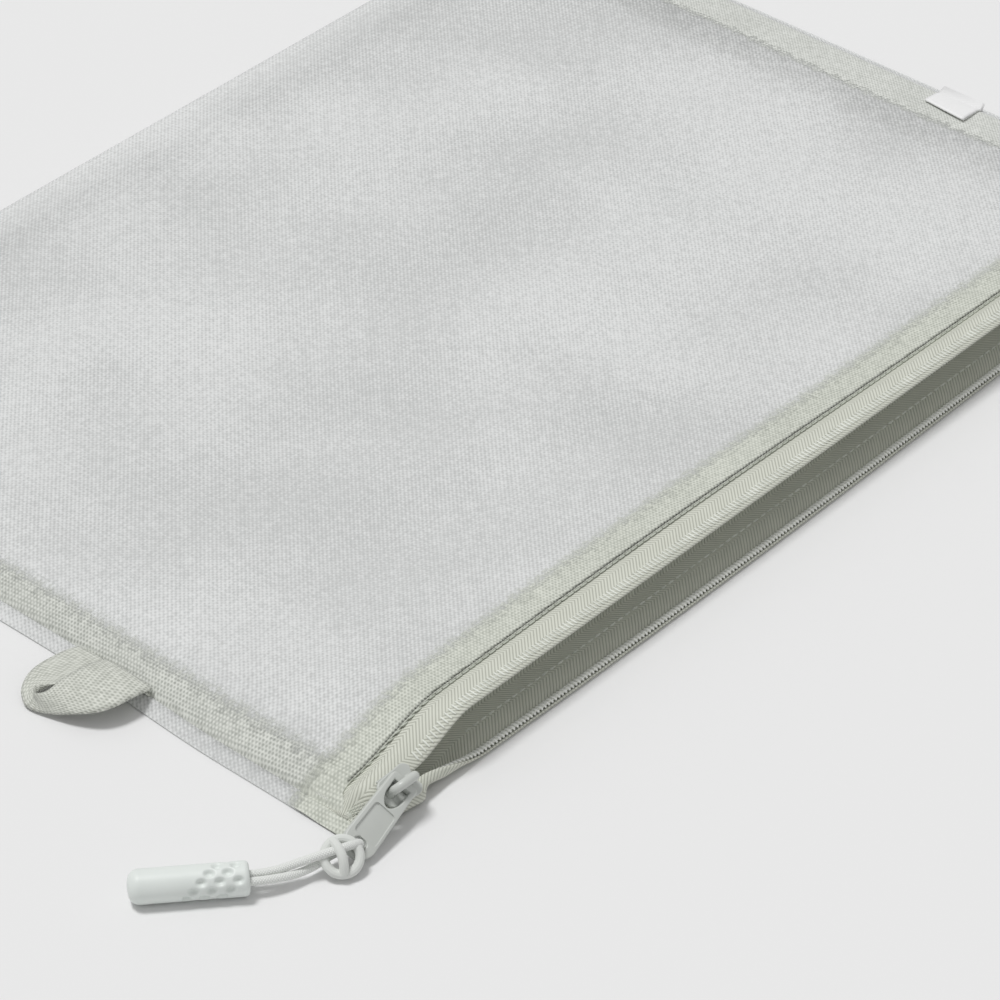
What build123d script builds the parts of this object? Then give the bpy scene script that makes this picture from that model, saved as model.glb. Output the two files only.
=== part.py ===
"""Sheer mesh document wallet with a coil zip along one long edge, lying on a table with the zip open.

Millimetres. X runs along the zip, Y away from it, Z up; the origin is the middle of the underside.
The slider is at the corner with the lowest X, and the mouth gapes from there to the other corner.
"""
import os
from math import atan2, cos, degrees, radians, sin, sqrt, tan

from build123d import *

os.makedirs("parts", exist_ok=True)

# Wallet, over the panels
wallet_length = 335.0
back_edge = 120.0
mesh_thickness = 0.5
cloth_gap = 0.06
pocket_height = 8.0
rim_height = 5.0
rim_wall = 1.4
edge_slope = 15.0
floor_inset = 2.0

# Seam allowances that show through the mesh as dense bands
allowance_width = 10.5
allowance_thickness = 0.9
allowance_setback = 1.0

# Open mouth, and the folded hems that carry the zip
hem_edge = -111.5
hem_width = 12.0
hem_thickness = 0.4
lip_run = 30.0
mouth_height = 14.2
mouth_rise_run = 36.0

# Zip: two tapes, each with a coil on its edge
tape_thickness = 0.5
tape_under_hem = 6.5
tape_clear_of_hem = 0.8
tape_reach = 2.4
tape_tuck = 1.6
tape_tuck_drop = 0.55
zip_end_setback = 3.0
coil_width = 2.4
coil_thickness = 2.0
core_width = 0.84
core_clearance = 0.08
chain_from_hem = 9.1
chain_height = 5.5
chain_end_drop = 1.2
chain_flat_margin = 0.3
chain_tilt = 40.0
coil_gap = 0.1
upper_lip_from_hem = 8.1
lower_lip_from_hem = 11.9
lower_lip_height = 1.3
upper_lip_tilt = 5.0
lower_lip_tilt = 180.0
lip_open_run = 22.5

# Slider, its bail and the post that parts the coils
slider_travel_start = 11.9
slider_length = 11.0
slider_width = 8.2
slider_corner = 2.2
plate_thickness = 0.95
channel_clearance = 0.4
flange_width = 0.7
tape_slot = 1.1
post_width = 1.5
post_length = 2.3
post_setback = 0.2
mouth_parting = 0.85
parting_run = 5.5
bail_wire = 2.2
bail_span = 6.4
bail_corner = 2.0
bail_clearance = 0.3

# Pull tab, hung on the bail
tab_thickness = 1.8
tab_width = 7.2
tab_end_width = 8.2
tab_length = 22.1
tab_bar_lift = 0.75
tab_rim = 1.3
tab_eye_length = 6.6
tab_end_eye_radius = 1.7
tab_end_eye_margin = 3.3
tab_recess_depth = 0.6
tab_recess_start = 8.4
tab_recess_length = 8.0
tab_recess_rim = 0.9
tab_yaw = 15.6
tab_dip = 4.3

# Doubled cord and its moulded end
cord_diameter = 2.0
cord_clearance = 0.4
cord_spread = 2.3
cord_lead_out = 4.5
cord_leave = 5.0
cord_upper_middle = (-186.4, -121.4, 5.1)
cord_lower_middle = (-186.8, -122.3, 2.5)
grip_length = 27.0
grip_radius = 4.0
grip_rounding = 2.4
grip_face = (-197.4, -115.6)
grip_heading = 138.2
groove_count = 3
groove_pitch = 3.4
groove_width = 1.4
groove_depth = 0.6
groove_start = 3.2

# Folded ribbon loop in one side seam, and the folded label in the other
ribbon_width = 26.0
ribbon_thickness = 0.45
ribbon_reach = 18.4
ribbon_middle = -40.0
ribbon_tip_radius = 2.2
ribbon_droop = 1.6
ribbon_base = (0.45, -0.5)
ribbon_rounding = [(0.57, 0.5), (0.92, 0.38), (1, 0.11), (0.89, -0.28), (0.58, -0.44)]
tail_length = 8.0
label_width = 14.5
label_middle = -42.0
label_reach = 11.5
label_inset = 4.0
label_thickness = 0.6
label_lift = 0.35
flap_clearance = 0.25

# Topstitching along both hems
stitch_length = 2.0
stitch_width = 0.35
stitch_height = 0.2
stitch_pitch = 3.0
stitch_from_hem_edge = 1.2
stitch_from_tape_edge = 8.5

# Bar tacks that close both ends of the chain
tack_length = 1.4
tack_width = 5.6
tack_height = 0.5
tack_setback = 4.5
tack_clearance = 0.3

half_length = wallet_length / 2
hem_inner = hem_edge + hem_width
zip_end = half_length - zip_end_setback
chain_line = hem_edge - chain_from_hem
upper_lip = (hem_edge - upper_lip_from_hem, mouth_height)
lower_lip = (hem_edge - lower_lip_from_hem, lower_lip_height)
slider_x = slider_travel_start - half_length
rise_stations = [mouth_rise_run * share for share in (0, 0.25, edge_slope / mouth_rise_run, 0.6, 0.8, 1)]
part_start = -slider_x + parting_run / 2 - 1.25
part_end = part_start - parting_run
mouth_end = -slider_x - slider_length / 2 - 0.5
chain_flat_end = -slider_x + slider_length / 2 + chain_flat_margin


def smooth(share):
    """Eases from 0 to 1."""
    share = min(max(share, 0.0), 1.0)
    return share * share * (3 - 2 * share)


def mix(low, high, share):
    return low + (high - low) * share


def clamped(share):
    return min(max(share, 0.0), 1.0)


def both_ways(distances):
    """Distances from the middle, as stations from one end of the wallet to the other."""
    outward = sorted(set(round(d, 4) for d in distances))
    return [-d for d in reversed(outward)] + outward


def hem_height(x):
    """Top of the hem, straight between the stations where it rises from the corner to the open mouth."""
    inward = half_length - abs(x)
    for near, far in zip(rise_stations, rise_stations[1:]):
        if inward <= far:
            low = mix(rim_height, mouth_height, smooth(near / mouth_rise_run))
            high = mix(rim_height, mouth_height, smooth(far / mouth_rise_run))
            return mix(low, high, (inward - near) / (far - near))
    return mouth_height


def panel_height(x):
    """Top of the upper panel, sloping up from a side seam."""
    return mix(rim_height, pocket_height, clamped((half_length - abs(x)) / edge_slope))


def strip_outline(middle, thickness):
    """Outline of a strip of cloth of even thickness about a line of (y, z) points."""
    ways = []
    for (y0, z0), (y1, z1) in zip(middle, middle[1:]):
        run = sqrt((y1 - y0) ** 2 + (z1 - z0) ** 2)
        ways.append(((y1 - y0) / run, (z1 - z0) / run))
    sides = []
    for before, after in zip([ways[0]] + ways, ways + [ways[-1]]):
        along = (before[0] + after[0], before[1] + after[1])
        reach = sqrt(along[0] ** 2 + along[1] ** 2)
        miter = 2 / reach**2
        sides.append((-along[1] * miter, along[0] * miter))
    half = thickness / 2
    left = [(y + half * dy, z + half * dz) for (y, z), (dy, dz) in zip(middle, sides)]
    right = [(y - half * dy, z - half * dz) for (y, z), (dy, dz) in zip(middle, sides)]
    return left + right[::-1]


def sheet_outline(top, thickness):
    """Outline of a sheet that hangs below a line of (y, z) points."""
    return top + [(y, z - thickness) for y, z in reversed(top)]


def section(x, outline):
    """Flat face across the wallet at x, from an outline of (y, z) points."""
    return Face(Wire.make_polygon([(x, y, z) for y, z in outline], close=True))


def top_line(x):
    """Outer face of the upper panel across the wallet, from the back seam to the hem's edge."""
    level = panel_height(x)
    hem = hem_height(x)
    return [
        (back_edge, rim_height),
        (back_edge - edge_slope, level),
        (hem_inner + lip_run, level),
        (hem_inner, hem),
        (hem_edge, hem),
    ]


def bottom_outline(x):
    """Outline of the lower panel across the wallet: flat on the table, turned up to the rim."""
    rise = clamped((abs(x) - half_length + floor_inset) / floor_inset)
    rim_top = rim_height - mesh_thickness - cloth_gap
    rim_low = rim_top - rim_wall
    low = rise * rim_low
    high = mix(mesh_thickness, rim_top, rise)
    inset = back_edge - floor_inset
    lower = [(back_edge, rim_low), (inset, low), (hem_edge, low)]
    upper = [(back_edge, rim_top), (inset, high), (hem_edge, high)]
    return lower + upper[::-1]


def chain_middle(x):
    """Middle of the closed chain, which drops a little at the wallet's corners."""
    drop = chain_end_drop * clamped((abs(x) - chain_flat_end) / (zip_end - chain_flat_end))
    return chain_line, chain_height - drop


def tilt_axes(tilt):
    """Directions in (y, z): across the chain towards the upper tape, and out of its outer face."""
    turn = radians(tilt)
    return (cos(turn), sin(turn)), (-sin(turn), cos(turn))


def coil_place(x, side):
    """Middle and tilt of a coil: side is 1 for the upper one, -1 for the lower one."""
    opened = smooth((mouth_end - abs(x)) / lip_open_run)
    parted = clamped((part_start - abs(x)) / parting_run)
    across, _ = tilt_axes(chain_tilt)
    offset = side * (coil_gap + coil_width / 2 + mouth_parting * parted)
    y, z = chain_middle(x)
    lip, lip_tilt = (upper_lip, upper_lip_tilt) if side > 0 else (lower_lip, lower_lip_tilt)
    middle = (
        mix(y + offset * across[0], lip[0], opened),
        mix(z + offset * across[1], lip[1], opened),
    )
    return middle, mix(chain_tilt, lip_tilt, opened)


def coil_outline(x, side, width, thickness):
    """Rectangle about a coil's middle, turned with its tape."""
    (y, z), tilt = coil_place(x, side)
    across, out = tilt_axes(tilt)
    corners = [(1, 1), (-1, 1), (-1, -1), (1, -1)]
    return [
        (
            y + a * width / 2 * across[0] + b * thickness / 2 * out[0],
            z + a * width / 2 * across[1] + b * thickness / 2 * out[1],
        )
        for a, b in corners
    ]


def tape_line(x, side):
    """Middle of a tape across the zip, from its coil to its edge under the hem."""
    (y, z), tilt = coil_place(x, side)
    across, _ = tilt_axes(tilt)
    start = coil_width / 2 + cloth_gap
    near = (y + side * start * across[0], z + side * start * across[1])
    turned = (near[0] + side * tape_reach * across[0], near[1] + side * tape_reach * across[1])
    layers = mesh_thickness + hem_thickness + 2 * cloth_gap + tape_thickness / 2
    level = hem_height(x) - layers if side > 0 else layers
    at_hem = (hem_edge - tape_clear_of_hem, level)
    thirds = [(mix(turned[0], at_hem[0], share), mix(turned[1], at_hem[1], share)) for share in (1 / 3, 2 / 3)]
    if side < 0:
        opened = smooth((mouth_end - abs(x)) / lip_open_run)
        tucks = [
            (turned[0] - tape_tuck / 6, turned[1] - tape_tuck),
            (turned[0] + tape_tuck, level - tape_tuck_drop),
        ]
        thirds = [
            (mix(tuck[0], flat[0], opened), mix(tuck[1], flat[1], opened))
            for tuck, flat in zip(tucks, thirds)
        ]
    return [near, turned, *thirds, at_hem, (hem_edge + tape_under_hem, level)]


hem_stations = both_ways([zip_end] + [half_length - r for r in rise_stations[1:]])
lip_stations = [mouth_end - lip_open_run * share for share in (0, 0.3, 0.5, 0.7, 1)]
zip_stations = both_ways([abs(x) for x in hem_stations] + [part_start, part_end, chain_flat_end] + lip_stations)
zip_stations = [x for x in zip_stations if abs(x) <= zip_end]

# Upper panel
with BuildPart() as top_panel:
    panel_stations = both_ways([half_length - r for r in rise_stations])
    loft([section(x, sheet_outline(top_line(x), mesh_thickness)) for x in panel_stations], ruled=True)
top_panel.part.label = "top_panel"
export_step(top_panel.part, "parts/top_panel.step")

# Lower panel
with BuildPart() as bottom_panel:
    floor_stations = both_ways([half_length, half_length - floor_inset])
    loft([section(x, bottom_outline(x)) for x in floor_stations], ruled=True)
bottom_panel.part.label = "bottom_panel"
export_step(bottom_panel.part, "parts/bottom_panel.step")

# Seam allowances of the two short sides, under the upper panel's slope
allowance_drop = mesh_thickness + cloth_gap
allowance_back_end = back_edge - edge_slope - allowance_setback
for side, name in ((-1, "loop_side_allowance"), (1, "label_side_allowance")):
    outer = half_length - allowance_setback
    with BuildPart() as side_allowance:
        sections = []
        for distance in (outer, half_length - rise_stations[1], outer - allowance_width):
            x = side * distance
            level = panel_height(x) - allowance_drop
            front = mix(hem_height(x), panel_height(x), allowance_setback / lip_run) - allowance_drop
            top = [
                (allowance_back_end, level),
                (hem_inner + lip_run, level),
                (hem_inner + allowance_setback, front),
            ]
            sections.append(section(x, sheet_outline(top, allowance_thickness)))
        loft(sections, ruled=True)
    side_allowance.part.label = name
    export_step(side_allowance.part, f"parts/{name}.step")

# Seam allowance of the back edge
back_slope = (pocket_height - rim_height) / edge_slope
with BuildPart() as back_allowance:
    with BuildSketch(Plane.YZ):
        with BuildLine():
            outer_y = back_edge - allowance_setback
            inner_y = outer_y - allowance_width
            top = [(y, rim_height + (back_edge - y) * back_slope - allowance_drop) for y in (outer_y, inner_y)]
            Polyline(*sheet_outline(top, allowance_thickness), close=True)
        make_face()
    extrude(amount=half_length - edge_slope - allowance_setback, both=True)
back_allowance.part.label = "back_allowance"
export_step(back_allowance.part, "parts/back_allowance.step")

# Folded hems along the mouth
with BuildPart() as upper_zip_hem:
    sections = []
    for x in hem_stations:
        level = hem_height(x) - mesh_thickness - cloth_gap
        sections.append(section(x, sheet_outline([(hem_inner, level), (hem_edge, level)], hem_thickness)))
    loft(sections, ruled=True)
upper_zip_hem.part.label = "upper_zip_hem"
export_step(upper_zip_hem.part, "parts/upper_zip_hem.step")

with BuildPart() as lower_zip_hem:
    with BuildSketch(Plane.XY.offset(mesh_thickness + cloth_gap)):
        with Locations((0, (hem_inner + hem_edge) / 2)):
            Rectangle(2 * zip_end, hem_width)
    extrude(amount=hem_thickness)
lower_zip_hem.part.label = "lower_zip_hem"
export_step(lower_zip_hem.part, "parts/lower_zip_hem.step")

# Zip tapes, coils and the cords inside the coils
for side, name in ((1, "upper"), (-1, "lower")):
    with BuildPart() as zip_tape:
        loft([section(x, strip_outline(tape_line(x, side), tape_thickness)) for x in zip_stations], ruled=True)
    zip_tape.part.label = f"{name}_zip_tape"
    export_step(zip_tape.part, f"parts/{name}_zip_tape.step")

    core_bore = core_width + 2 * core_clearance
    with BuildPart() as coil:
        loft([section(x, coil_outline(x, side, coil_width, coil_thickness)) for x in zip_stations], ruled=True)
        bores = [section(x, coil_outline(x, side, core_bore, core_bore)) for x in zip_stations]
        loft(bores, ruled=True, mode=Mode.SUBTRACT)
    coil.part.label = f"{name}_coil"
    export_step(coil.part, f"parts/{name}_coil.step")

    with BuildPart() as coil_core:
        loft([section(x, coil_outline(x, side, core_width, core_width)) for x in zip_stations], ruled=True)
    coil_core.part.label = f"{name}_coil_core"
    export_step(coil_core.part, f"parts/{name}_coil_core.step")

# Topstitching: one row on the upper hem, one on the inside of the lower tape
stitch_span = 2 * (mouth_end - lip_open_run)
stitch_count = int(stitch_span / stitch_pitch)
lower_tape_top = lower_lip_height + tape_thickness / 2 + cloth_gap
stitch_rows = (
    ("upper_zip_stitching", hem_edge + stitch_from_hem_edge, mouth_height),
    ("lower_zip_stitching", hem_edge + tape_under_hem - stitch_from_tape_edge, lower_tape_top),
)
for name, y, z in stitch_rows:
    with BuildPart(Plane.XY.offset(z)) as stitching:
        with Locations((0, y)):
            with GridLocations(stitch_pitch, 1, stitch_count, 1):
                Box(stitch_length, stitch_width, stitch_height, align=(Align.CENTER, Align.CENTER, Align.MIN))
    stitching.part.label = name
    export_step(stitching.part, f"parts/{name}.step")


def chain_plane(x):
    """Plane of the closed chain: x along it, y across it to the upper tape, z out of its outer face."""
    y, z = chain_middle(x)
    _, out = tilt_axes(chain_tilt)
    return Plane(origin=(x, y, z), x_dir=(1, 0, 0), z_dir=(0, out[0], out[1]))


# Bar tacks at both ends of the chain, a row of thread on each face of it
tack_x = half_length - tack_setback
for x, name in ((-tack_x, "slider_end_bar_tack"), (tack_x, "far_end_bar_tack")):
    tack_level = coil_thickness / 2 + tack_clearance + tack_height / 2
    with BuildPart(chain_plane(x)) as bar_tack:
        with Locations((0, 0, tack_level), (0, 0, -tack_level)):
            Box(tack_length, tack_width, tack_height)
    bar_tack.part.label = name
    export_step(bar_tack.part, f"parts/{name}.step")

# Slider: two plates with turned-in flanges, held apart by the post that parts the coils
slider_plane = chain_plane(slider_x)
channel_half = coil_thickness / 2 + channel_clearance
plate_top = channel_half + plate_thickness
with BuildPart(slider_plane) as slider_body:
    with BuildSketch(slider_plane.offset(-plate_top)):
        RectangleRounded(slider_length, slider_width, slider_corner)
    extrude(amount=2 * plate_top)
    with BuildSketch(slider_plane.offset(-channel_half)):
        Rectangle(slider_length, slider_width - 2 * flange_width)
    extrude(amount=2 * channel_half, mode=Mode.SUBTRACT)
    with BuildSketch(slider_plane.offset(-tape_slot / 2)):
        Rectangle(slider_length, slider_width)
    extrude(amount=tape_slot, mode=Mode.SUBTRACT)
    with BuildSketch(slider_plane.offset(-channel_half)):
        with Locations((slider_length / 2 - post_setback - post_length / 2, 0)):
            RectangleRounded(post_length, post_width, post_width * 0.4)
    extrude(amount=2 * channel_half)
slider_body.part.label = "slider_body"
export_step(slider_body.part, "parts/slider_body.step")

# Bail, an arch of wire on the slider's outer plate
pivot_level = plate_top + tab_thickness / 2 + tab_bar_lift
bail_level = pivot_level + tab_thickness / 2 + bail_clearance + bail_wire / 2
with BuildPart() as slider_bail:
    bail_plane = Plane(origin=slider_plane.origin, x_dir=slider_plane.x_dir, z_dir=-slider_plane.y_dir)
    with BuildLine(bail_plane) as bail_path:
        half_span = bail_span / 2
        FilletPolyline(
            (half_span, plate_top),
            (half_span, bail_level),
            (-half_span, bail_level),
            (-half_span, plate_top),
            radius=bail_corner,
        )
    with BuildSketch(Plane(origin=bail_path.line @ 0, z_dir=bail_path.line % 0)):
        Circle(bail_wire / 2)
    sweep(path=bail_path.line)
slider_bail.part.label = "slider_bail"
export_step(slider_bail.part, "parts/slider_bail.step")

# Pull tab: a flat bar that turns on its rounded end inside the bail
pivot = slider_plane.from_local_coords(Vector(0, 0, pivot_level))
yaw = radians(tab_yaw)
dip = radians(tab_dip)
tab_way = -slider_plane.x_dir * (cos(yaw) * cos(dip)) - slider_plane.y_dir * (sin(yaw) * cos(dip))
tab_way = (tab_way - slider_plane.z_dir * sin(dip)).normalized()
tab_up = (slider_plane.z_dir - tab_way * slider_plane.z_dir.dot(tab_way)).normalized()
tab_plane = Plane(origin=pivot, x_dir=tab_way, z_dir=tab_up)
tab_half = tab_thickness / 2
end_eye_x = tab_length - tab_end_eye_margin
with BuildPart(tab_plane) as pull_tab:
    with BuildSketch(tab_plane.offset(-tab_half)):
        with BuildLine():
            half_width = tab_width / 2
            end_half = tab_end_width / 2
            round_start = tab_length - end_half
            Polyline((round_start, -end_half), (0, -half_width), (0, half_width), (round_start, end_half))
            ThreePointArc((round_start, end_half), (tab_length, 0), (round_start, -end_half))
        make_face()
    extrude(amount=tab_thickness)
    Cylinder(tab_half, tab_width, rotation=(90, 0, 0))
    with BuildSketch(tab_plane.offset(-tab_half)):
        eye_half = half_width - tab_rim
        with BuildLine():
            Polyline((tab_half, -eye_half), (tab_half, eye_half), (tab_half + tab_eye_length / 2, eye_half))
            ThreePointArc(
                (tab_half + tab_eye_length / 2, eye_half),
                (tab_half + tab_eye_length, 0),
                (tab_half + tab_eye_length / 2, -eye_half),
            )
            Line((tab_half + tab_eye_length / 2, -eye_half), (tab_half, -eye_half))
        make_face()
        with Locations((end_eye_x, 0)):
            Circle(tab_end_eye_radius)
    extrude(amount=tab_thickness, mode=Mode.SUBTRACT)
    with BuildSketch(tab_plane.offset(tab_half - tab_recess_depth)):
        with Locations((tab_recess_start + tab_recess_length / 2, 0)):
            recess_half = half_width - tab_recess_rim
            RectangleRounded(tab_recess_length, 2 * recess_half, recess_half * 0.5)
    extrude(amount=tab_recess_depth, mode=Mode.SUBTRACT)
pull_tab.part.label = "pull_tab"
export_step(pull_tab.part, "parts/pull_tab.step")

# Moulded grip on the cord's end, lying on the table
heading = radians(grip_heading)
grip_way = Vector(cos(heading), sin(heading), 0)
grip_plane = Plane(origin=(*grip_face, grip_radius), x_dir=(0, 0, 1), z_dir=grip_way)
with BuildPart(grip_plane) as cord_grip:
    with BuildSketch(grip_plane):
        Circle(grip_radius)
    extrude(amount=grip_length)
    fillet(cord_grip.faces().sort_by(Axis(grip_plane.origin, grip_way)).last.edges(), grip_rounding)
    fillet(cord_grip.faces().sort_by(Axis(grip_plane.origin, grip_way)).first.edges(), grip_rounding / 2)
    groove_axis = grip_radius + groove_width - groove_depth
    groove_steps = [groove_start + groove_pitch * n for n in range(groove_count)]
    with Locations(*[(x, 0, step) for step in groove_steps for x in (groove_axis, -groove_axis)]):
        Cylinder(groove_width, 2 * grip_radius, rotation=(90, 0, 0), mode=Mode.SUBTRACT)
cord_grip.part.label = "cord_grip"
export_step(cord_grip.part, "parts/cord_grip.step")

# Cord: out of the grip, over the tab's end, down through its eye and back under it to the grip
eye = tab_plane.from_local_coords(Vector(end_eye_x, 0, 0))
over = tab_half + cord_diameter / 2 + cord_clearance
grip_side = Vector(0, 0, 1).cross(grip_way)
face = Vector(*grip_face, grip_radius)
to_grip = (face - eye).normalized()
leave = (to_grip - tab_up * to_grip.dot(tab_up)).normalized()
cord_points = [
    face - grip_side * (cord_spread / 2),
    face - grip_side * (cord_spread / 2) - grip_way * cord_lead_out,
    Vector(*cord_upper_middle),
    eye + tab_up * over + leave * cord_leave,
    eye + tab_up * over,
    eye - tab_up * over,
    eye - tab_up * over + leave * cord_leave,
    Vector(*cord_lower_middle),
    face + grip_side * (cord_spread / 2) - grip_way * cord_lead_out,
    face + grip_side * (cord_spread / 2),
]
cord_radii = []
for before, corner, after in zip(cord_points, cord_points[1:], cord_points[2:]):
    turn = radians((corner - before).get_angle(after - corner))
    shorter = min((corner - before).length, (after - corner).length)
    cord_radii.append(0.45 * shorter / tan(turn / 2))
with BuildPart() as pull_cord:
    with BuildLine() as cord_path:
        FilletPolyline(*cord_points, radius=cord_radii)
    with BuildSketch(Plane(origin=cord_path.line @ 0, z_dir=cord_path.line % 0)):
        Circle(cord_diameter / 2)
    sweep(path=cord_path.line)
pull_cord.part.label = "pull_cord"
export_step(pull_cord.part, "parts/pull_cord.step")
cord_section = 3.14159265 * cord_diameter**2 / 4
print("cord radii", [round(r, 1) for r in cord_radii])
cord_length = cord_path.wires()[0].length
print("cord length", round(cord_length, 1), "volume share", pull_cord.part.volume / cord_section / cord_length)

# Ribbon loop: a ribbon folded in two, turning at the seam on its pressed edge
fold_radius = ribbon_thickness
loop_axis_x = -half_length - flap_clearance - fold_radius
loop_axis_z = rim_height - mesh_thickness - cloth_gap / 2
tip = (loop_axis_x - ribbon_reach + ribbon_tip_radius, loop_axis_z - ribbon_droop)
with BuildPart() as ribbon_loop:
    with BuildSketch(Plane.XZ.offset(-ribbon_middle)):
        with Locations((loop_axis_x, loop_axis_z)):
            Circle(fold_radius)
        with Locations(tip):
            Circle(ribbon_tip_radius)
        make_hull()
    extrude(amount=ribbon_width / 2, both=True)
    with BuildSketch(Plane.XZ.offset(-ribbon_middle)):
        with Locations((mix(loop_axis_x, tip[0], 0.35), mix(loop_axis_z, tip[1], 0.35))):
            Circle(fold_radius / 2)
        with Locations(tip):
            Circle(ribbon_tip_radius - ribbon_thickness)
        make_hull()
    extrude(amount=ribbon_width / 2, both=True, mode=Mode.SUBTRACT)
    with BuildSketch(Plane.XY):
        with BuildLine():
            seam_x = loop_axis_x + fold_radius
            rounded = [
                (loop_axis_x - ribbon_reach * out, ribbon_middle + ribbon_width * share)
                for out, share in ribbon_rounding
            ]
            corners = [(seam_x, ribbon_middle + ribbon_width * share) for share in ribbon_base]
            Line(corners[0], rounded[0])
            Spline(*rounded)
            Polyline(rounded[-1], corners[1], corners[0])
        make_face()
    extrude(amount=2 * rim_height, mode=Mode.INTERSECT)
ribbon_loop.part.label = "ribbon_loop"
export_step(ribbon_loop.part, "parts/ribbon_loop.step")

# Label: a folded strip that lies on the panel's slope and turns at the seam
slope = atan2(pocket_height - rim_height, edge_slope)
label_radius = label_thickness / 2
label_axis_x = half_length - label_inset
label_axis_z = panel_height(label_axis_x) + label_lift / cos(slope)
label_axis = (label_axis_x, label_middle, label_axis_z)
label_plane = Plane(origin=label_axis, x_dir=(-cos(slope), 0, sin(slope)), z_dir=(0, 1, 0))
with BuildPart(label_plane) as label:
    with BuildSketch(label_plane):
        Circle(label_radius)
        with Locations((label_reach / 2, 0)):
            Rectangle(label_reach, label_thickness)
    extrude(amount=label_width / 2, both=True)
label.part.label = "label"
export_step(label.part, "parts/label.step")

# The ends of the loop and of the label that are caught in the seams
tail_drop = allowance_drop + allowance_thickness + cloth_gap
tails = (
    ("loop_tail", -1, ribbon_middle, ribbon_width, 2 * ribbon_thickness),
    ("label_tail", 1, label_middle, label_width, label_thickness),
)
for name, side, middle, width, thickness in tails:
    outer = half_length - allowance_setback
    with BuildPart() as tail:
        sections = []
        for x in (side * outer, side * (outer - tail_length)):
            top = [(middle + end * width / 2, panel_height(x) - tail_drop) for end in (1, -1)]
            sections.append(section(x, sheet_outline(top, thickness)))
        loft(sections, ruled=True)
    tail.part.label = name
    export_step(tail.part, f"parts/{name}.step")

print("slider middle", slider_plane.origin, "pivot", pivot, "tab width axis", tab_plane.y_dir)
print("tab way", tab_way, "tab up", tab_up, "eye", eye)
print("loop axis", loop_axis_x, loop_axis_z, "label axis", label_axis_x, label_axis_z, "slope", degrees(slope))
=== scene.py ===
"""Visual model of a sheer mesh document wallet that lies on a table with its long zip open.

Each sub-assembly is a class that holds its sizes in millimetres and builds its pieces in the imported
model's frame.
"""
import logging
import math
from dataclasses import dataclass
from enum import Enum

import bmesh
import bpy
import numpy as np
from mathutils import Matrix, Vector


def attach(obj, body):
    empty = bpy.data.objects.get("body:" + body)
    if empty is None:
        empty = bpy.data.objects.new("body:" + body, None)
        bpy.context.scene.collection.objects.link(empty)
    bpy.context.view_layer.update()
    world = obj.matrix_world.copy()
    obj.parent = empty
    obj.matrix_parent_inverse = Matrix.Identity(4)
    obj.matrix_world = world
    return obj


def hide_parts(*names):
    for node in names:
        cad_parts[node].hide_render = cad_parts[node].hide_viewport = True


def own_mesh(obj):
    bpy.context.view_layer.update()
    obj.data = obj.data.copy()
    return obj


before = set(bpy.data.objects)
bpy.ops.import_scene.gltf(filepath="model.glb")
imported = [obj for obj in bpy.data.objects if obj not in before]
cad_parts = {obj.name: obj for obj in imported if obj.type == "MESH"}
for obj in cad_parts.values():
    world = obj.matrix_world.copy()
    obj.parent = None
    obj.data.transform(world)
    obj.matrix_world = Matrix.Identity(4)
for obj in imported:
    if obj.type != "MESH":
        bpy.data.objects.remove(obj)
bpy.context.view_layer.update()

MM = 0.001
# Edges that turn by more than this many degrees stay sharp.
SHARP_TURN = 28
log = logging.getLogger("document_wallet")


class Body(str, Enum):
    """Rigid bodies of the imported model."""

    WALLET = "wallet"
    SLIDER = "slider"
    TAB = "pull_tab"
    CORD = "cord_pull"
    LOOP = "ribbon_loop"
    LABEL = "label"


class Lip(Enum):
    """The two sides of the zip: the sign tells on which side of the chain a tape lies."""

    UPPER = 1
    LOWER = -1


def ease(share: np.ndarray | float) -> np.ndarray | float:
    """Eases from 0 to 1, flat at both ends.

    Args:
        share: where between the two ends, clipped to 0 and 1.

    Returns:
        The eased share.
    """
    share = np.clip(share, 0.0, 1.0)
    return share * share * (3 - 2 * share)


def mix(low: np.ndarray | float, high: np.ndarray | float, share: np.ndarray | float) -> np.ndarray | float:
    """Goes from low to high by a share."""
    return low + (high - low) * share


def run_along(line: np.ndarray) -> np.ndarray:
    """Distance of each point of a line from the line's start."""
    return np.concatenate([[0.0], np.cumsum(np.linalg.norm(np.diff(line, axis=0), axis=1))])


def smooth_line(points: np.ndarray, count: int) -> np.ndarray:
    """Runs a rounded line through a few given points.

    Args:
        points: corner points, one row each.
        count: how many points the result has, evenly spaced along it.

    Returns:
        The rounded line, with both ends kept.
    """
    line = np.asarray(points, float)
    for _ in range(3):
        cut = np.empty((2 * len(line) - 2, line.shape[1]))
        cut[0::2] = 0.75 * line[:-1] + 0.25 * line[1:]
        cut[1::2] = 0.25 * line[:-1] + 0.75 * line[1:]
        line = np.vstack([line[:1], cut, line[-1:]])
    steps = run_along(line)
    at = np.linspace(0.0, steps[-1], count)
    return np.stack([np.interp(at, steps, line[:, k]) for k in range(line.shape[1])], axis=1)


def add_object(name: str, data: bpy.types.ID) -> bpy.types.Object:
    """Puts a new object into the scene."""
    piece = bpy.data.objects.new(name, data)
    bpy.context.scene.collection.objects.link(piece)
    return piece


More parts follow.
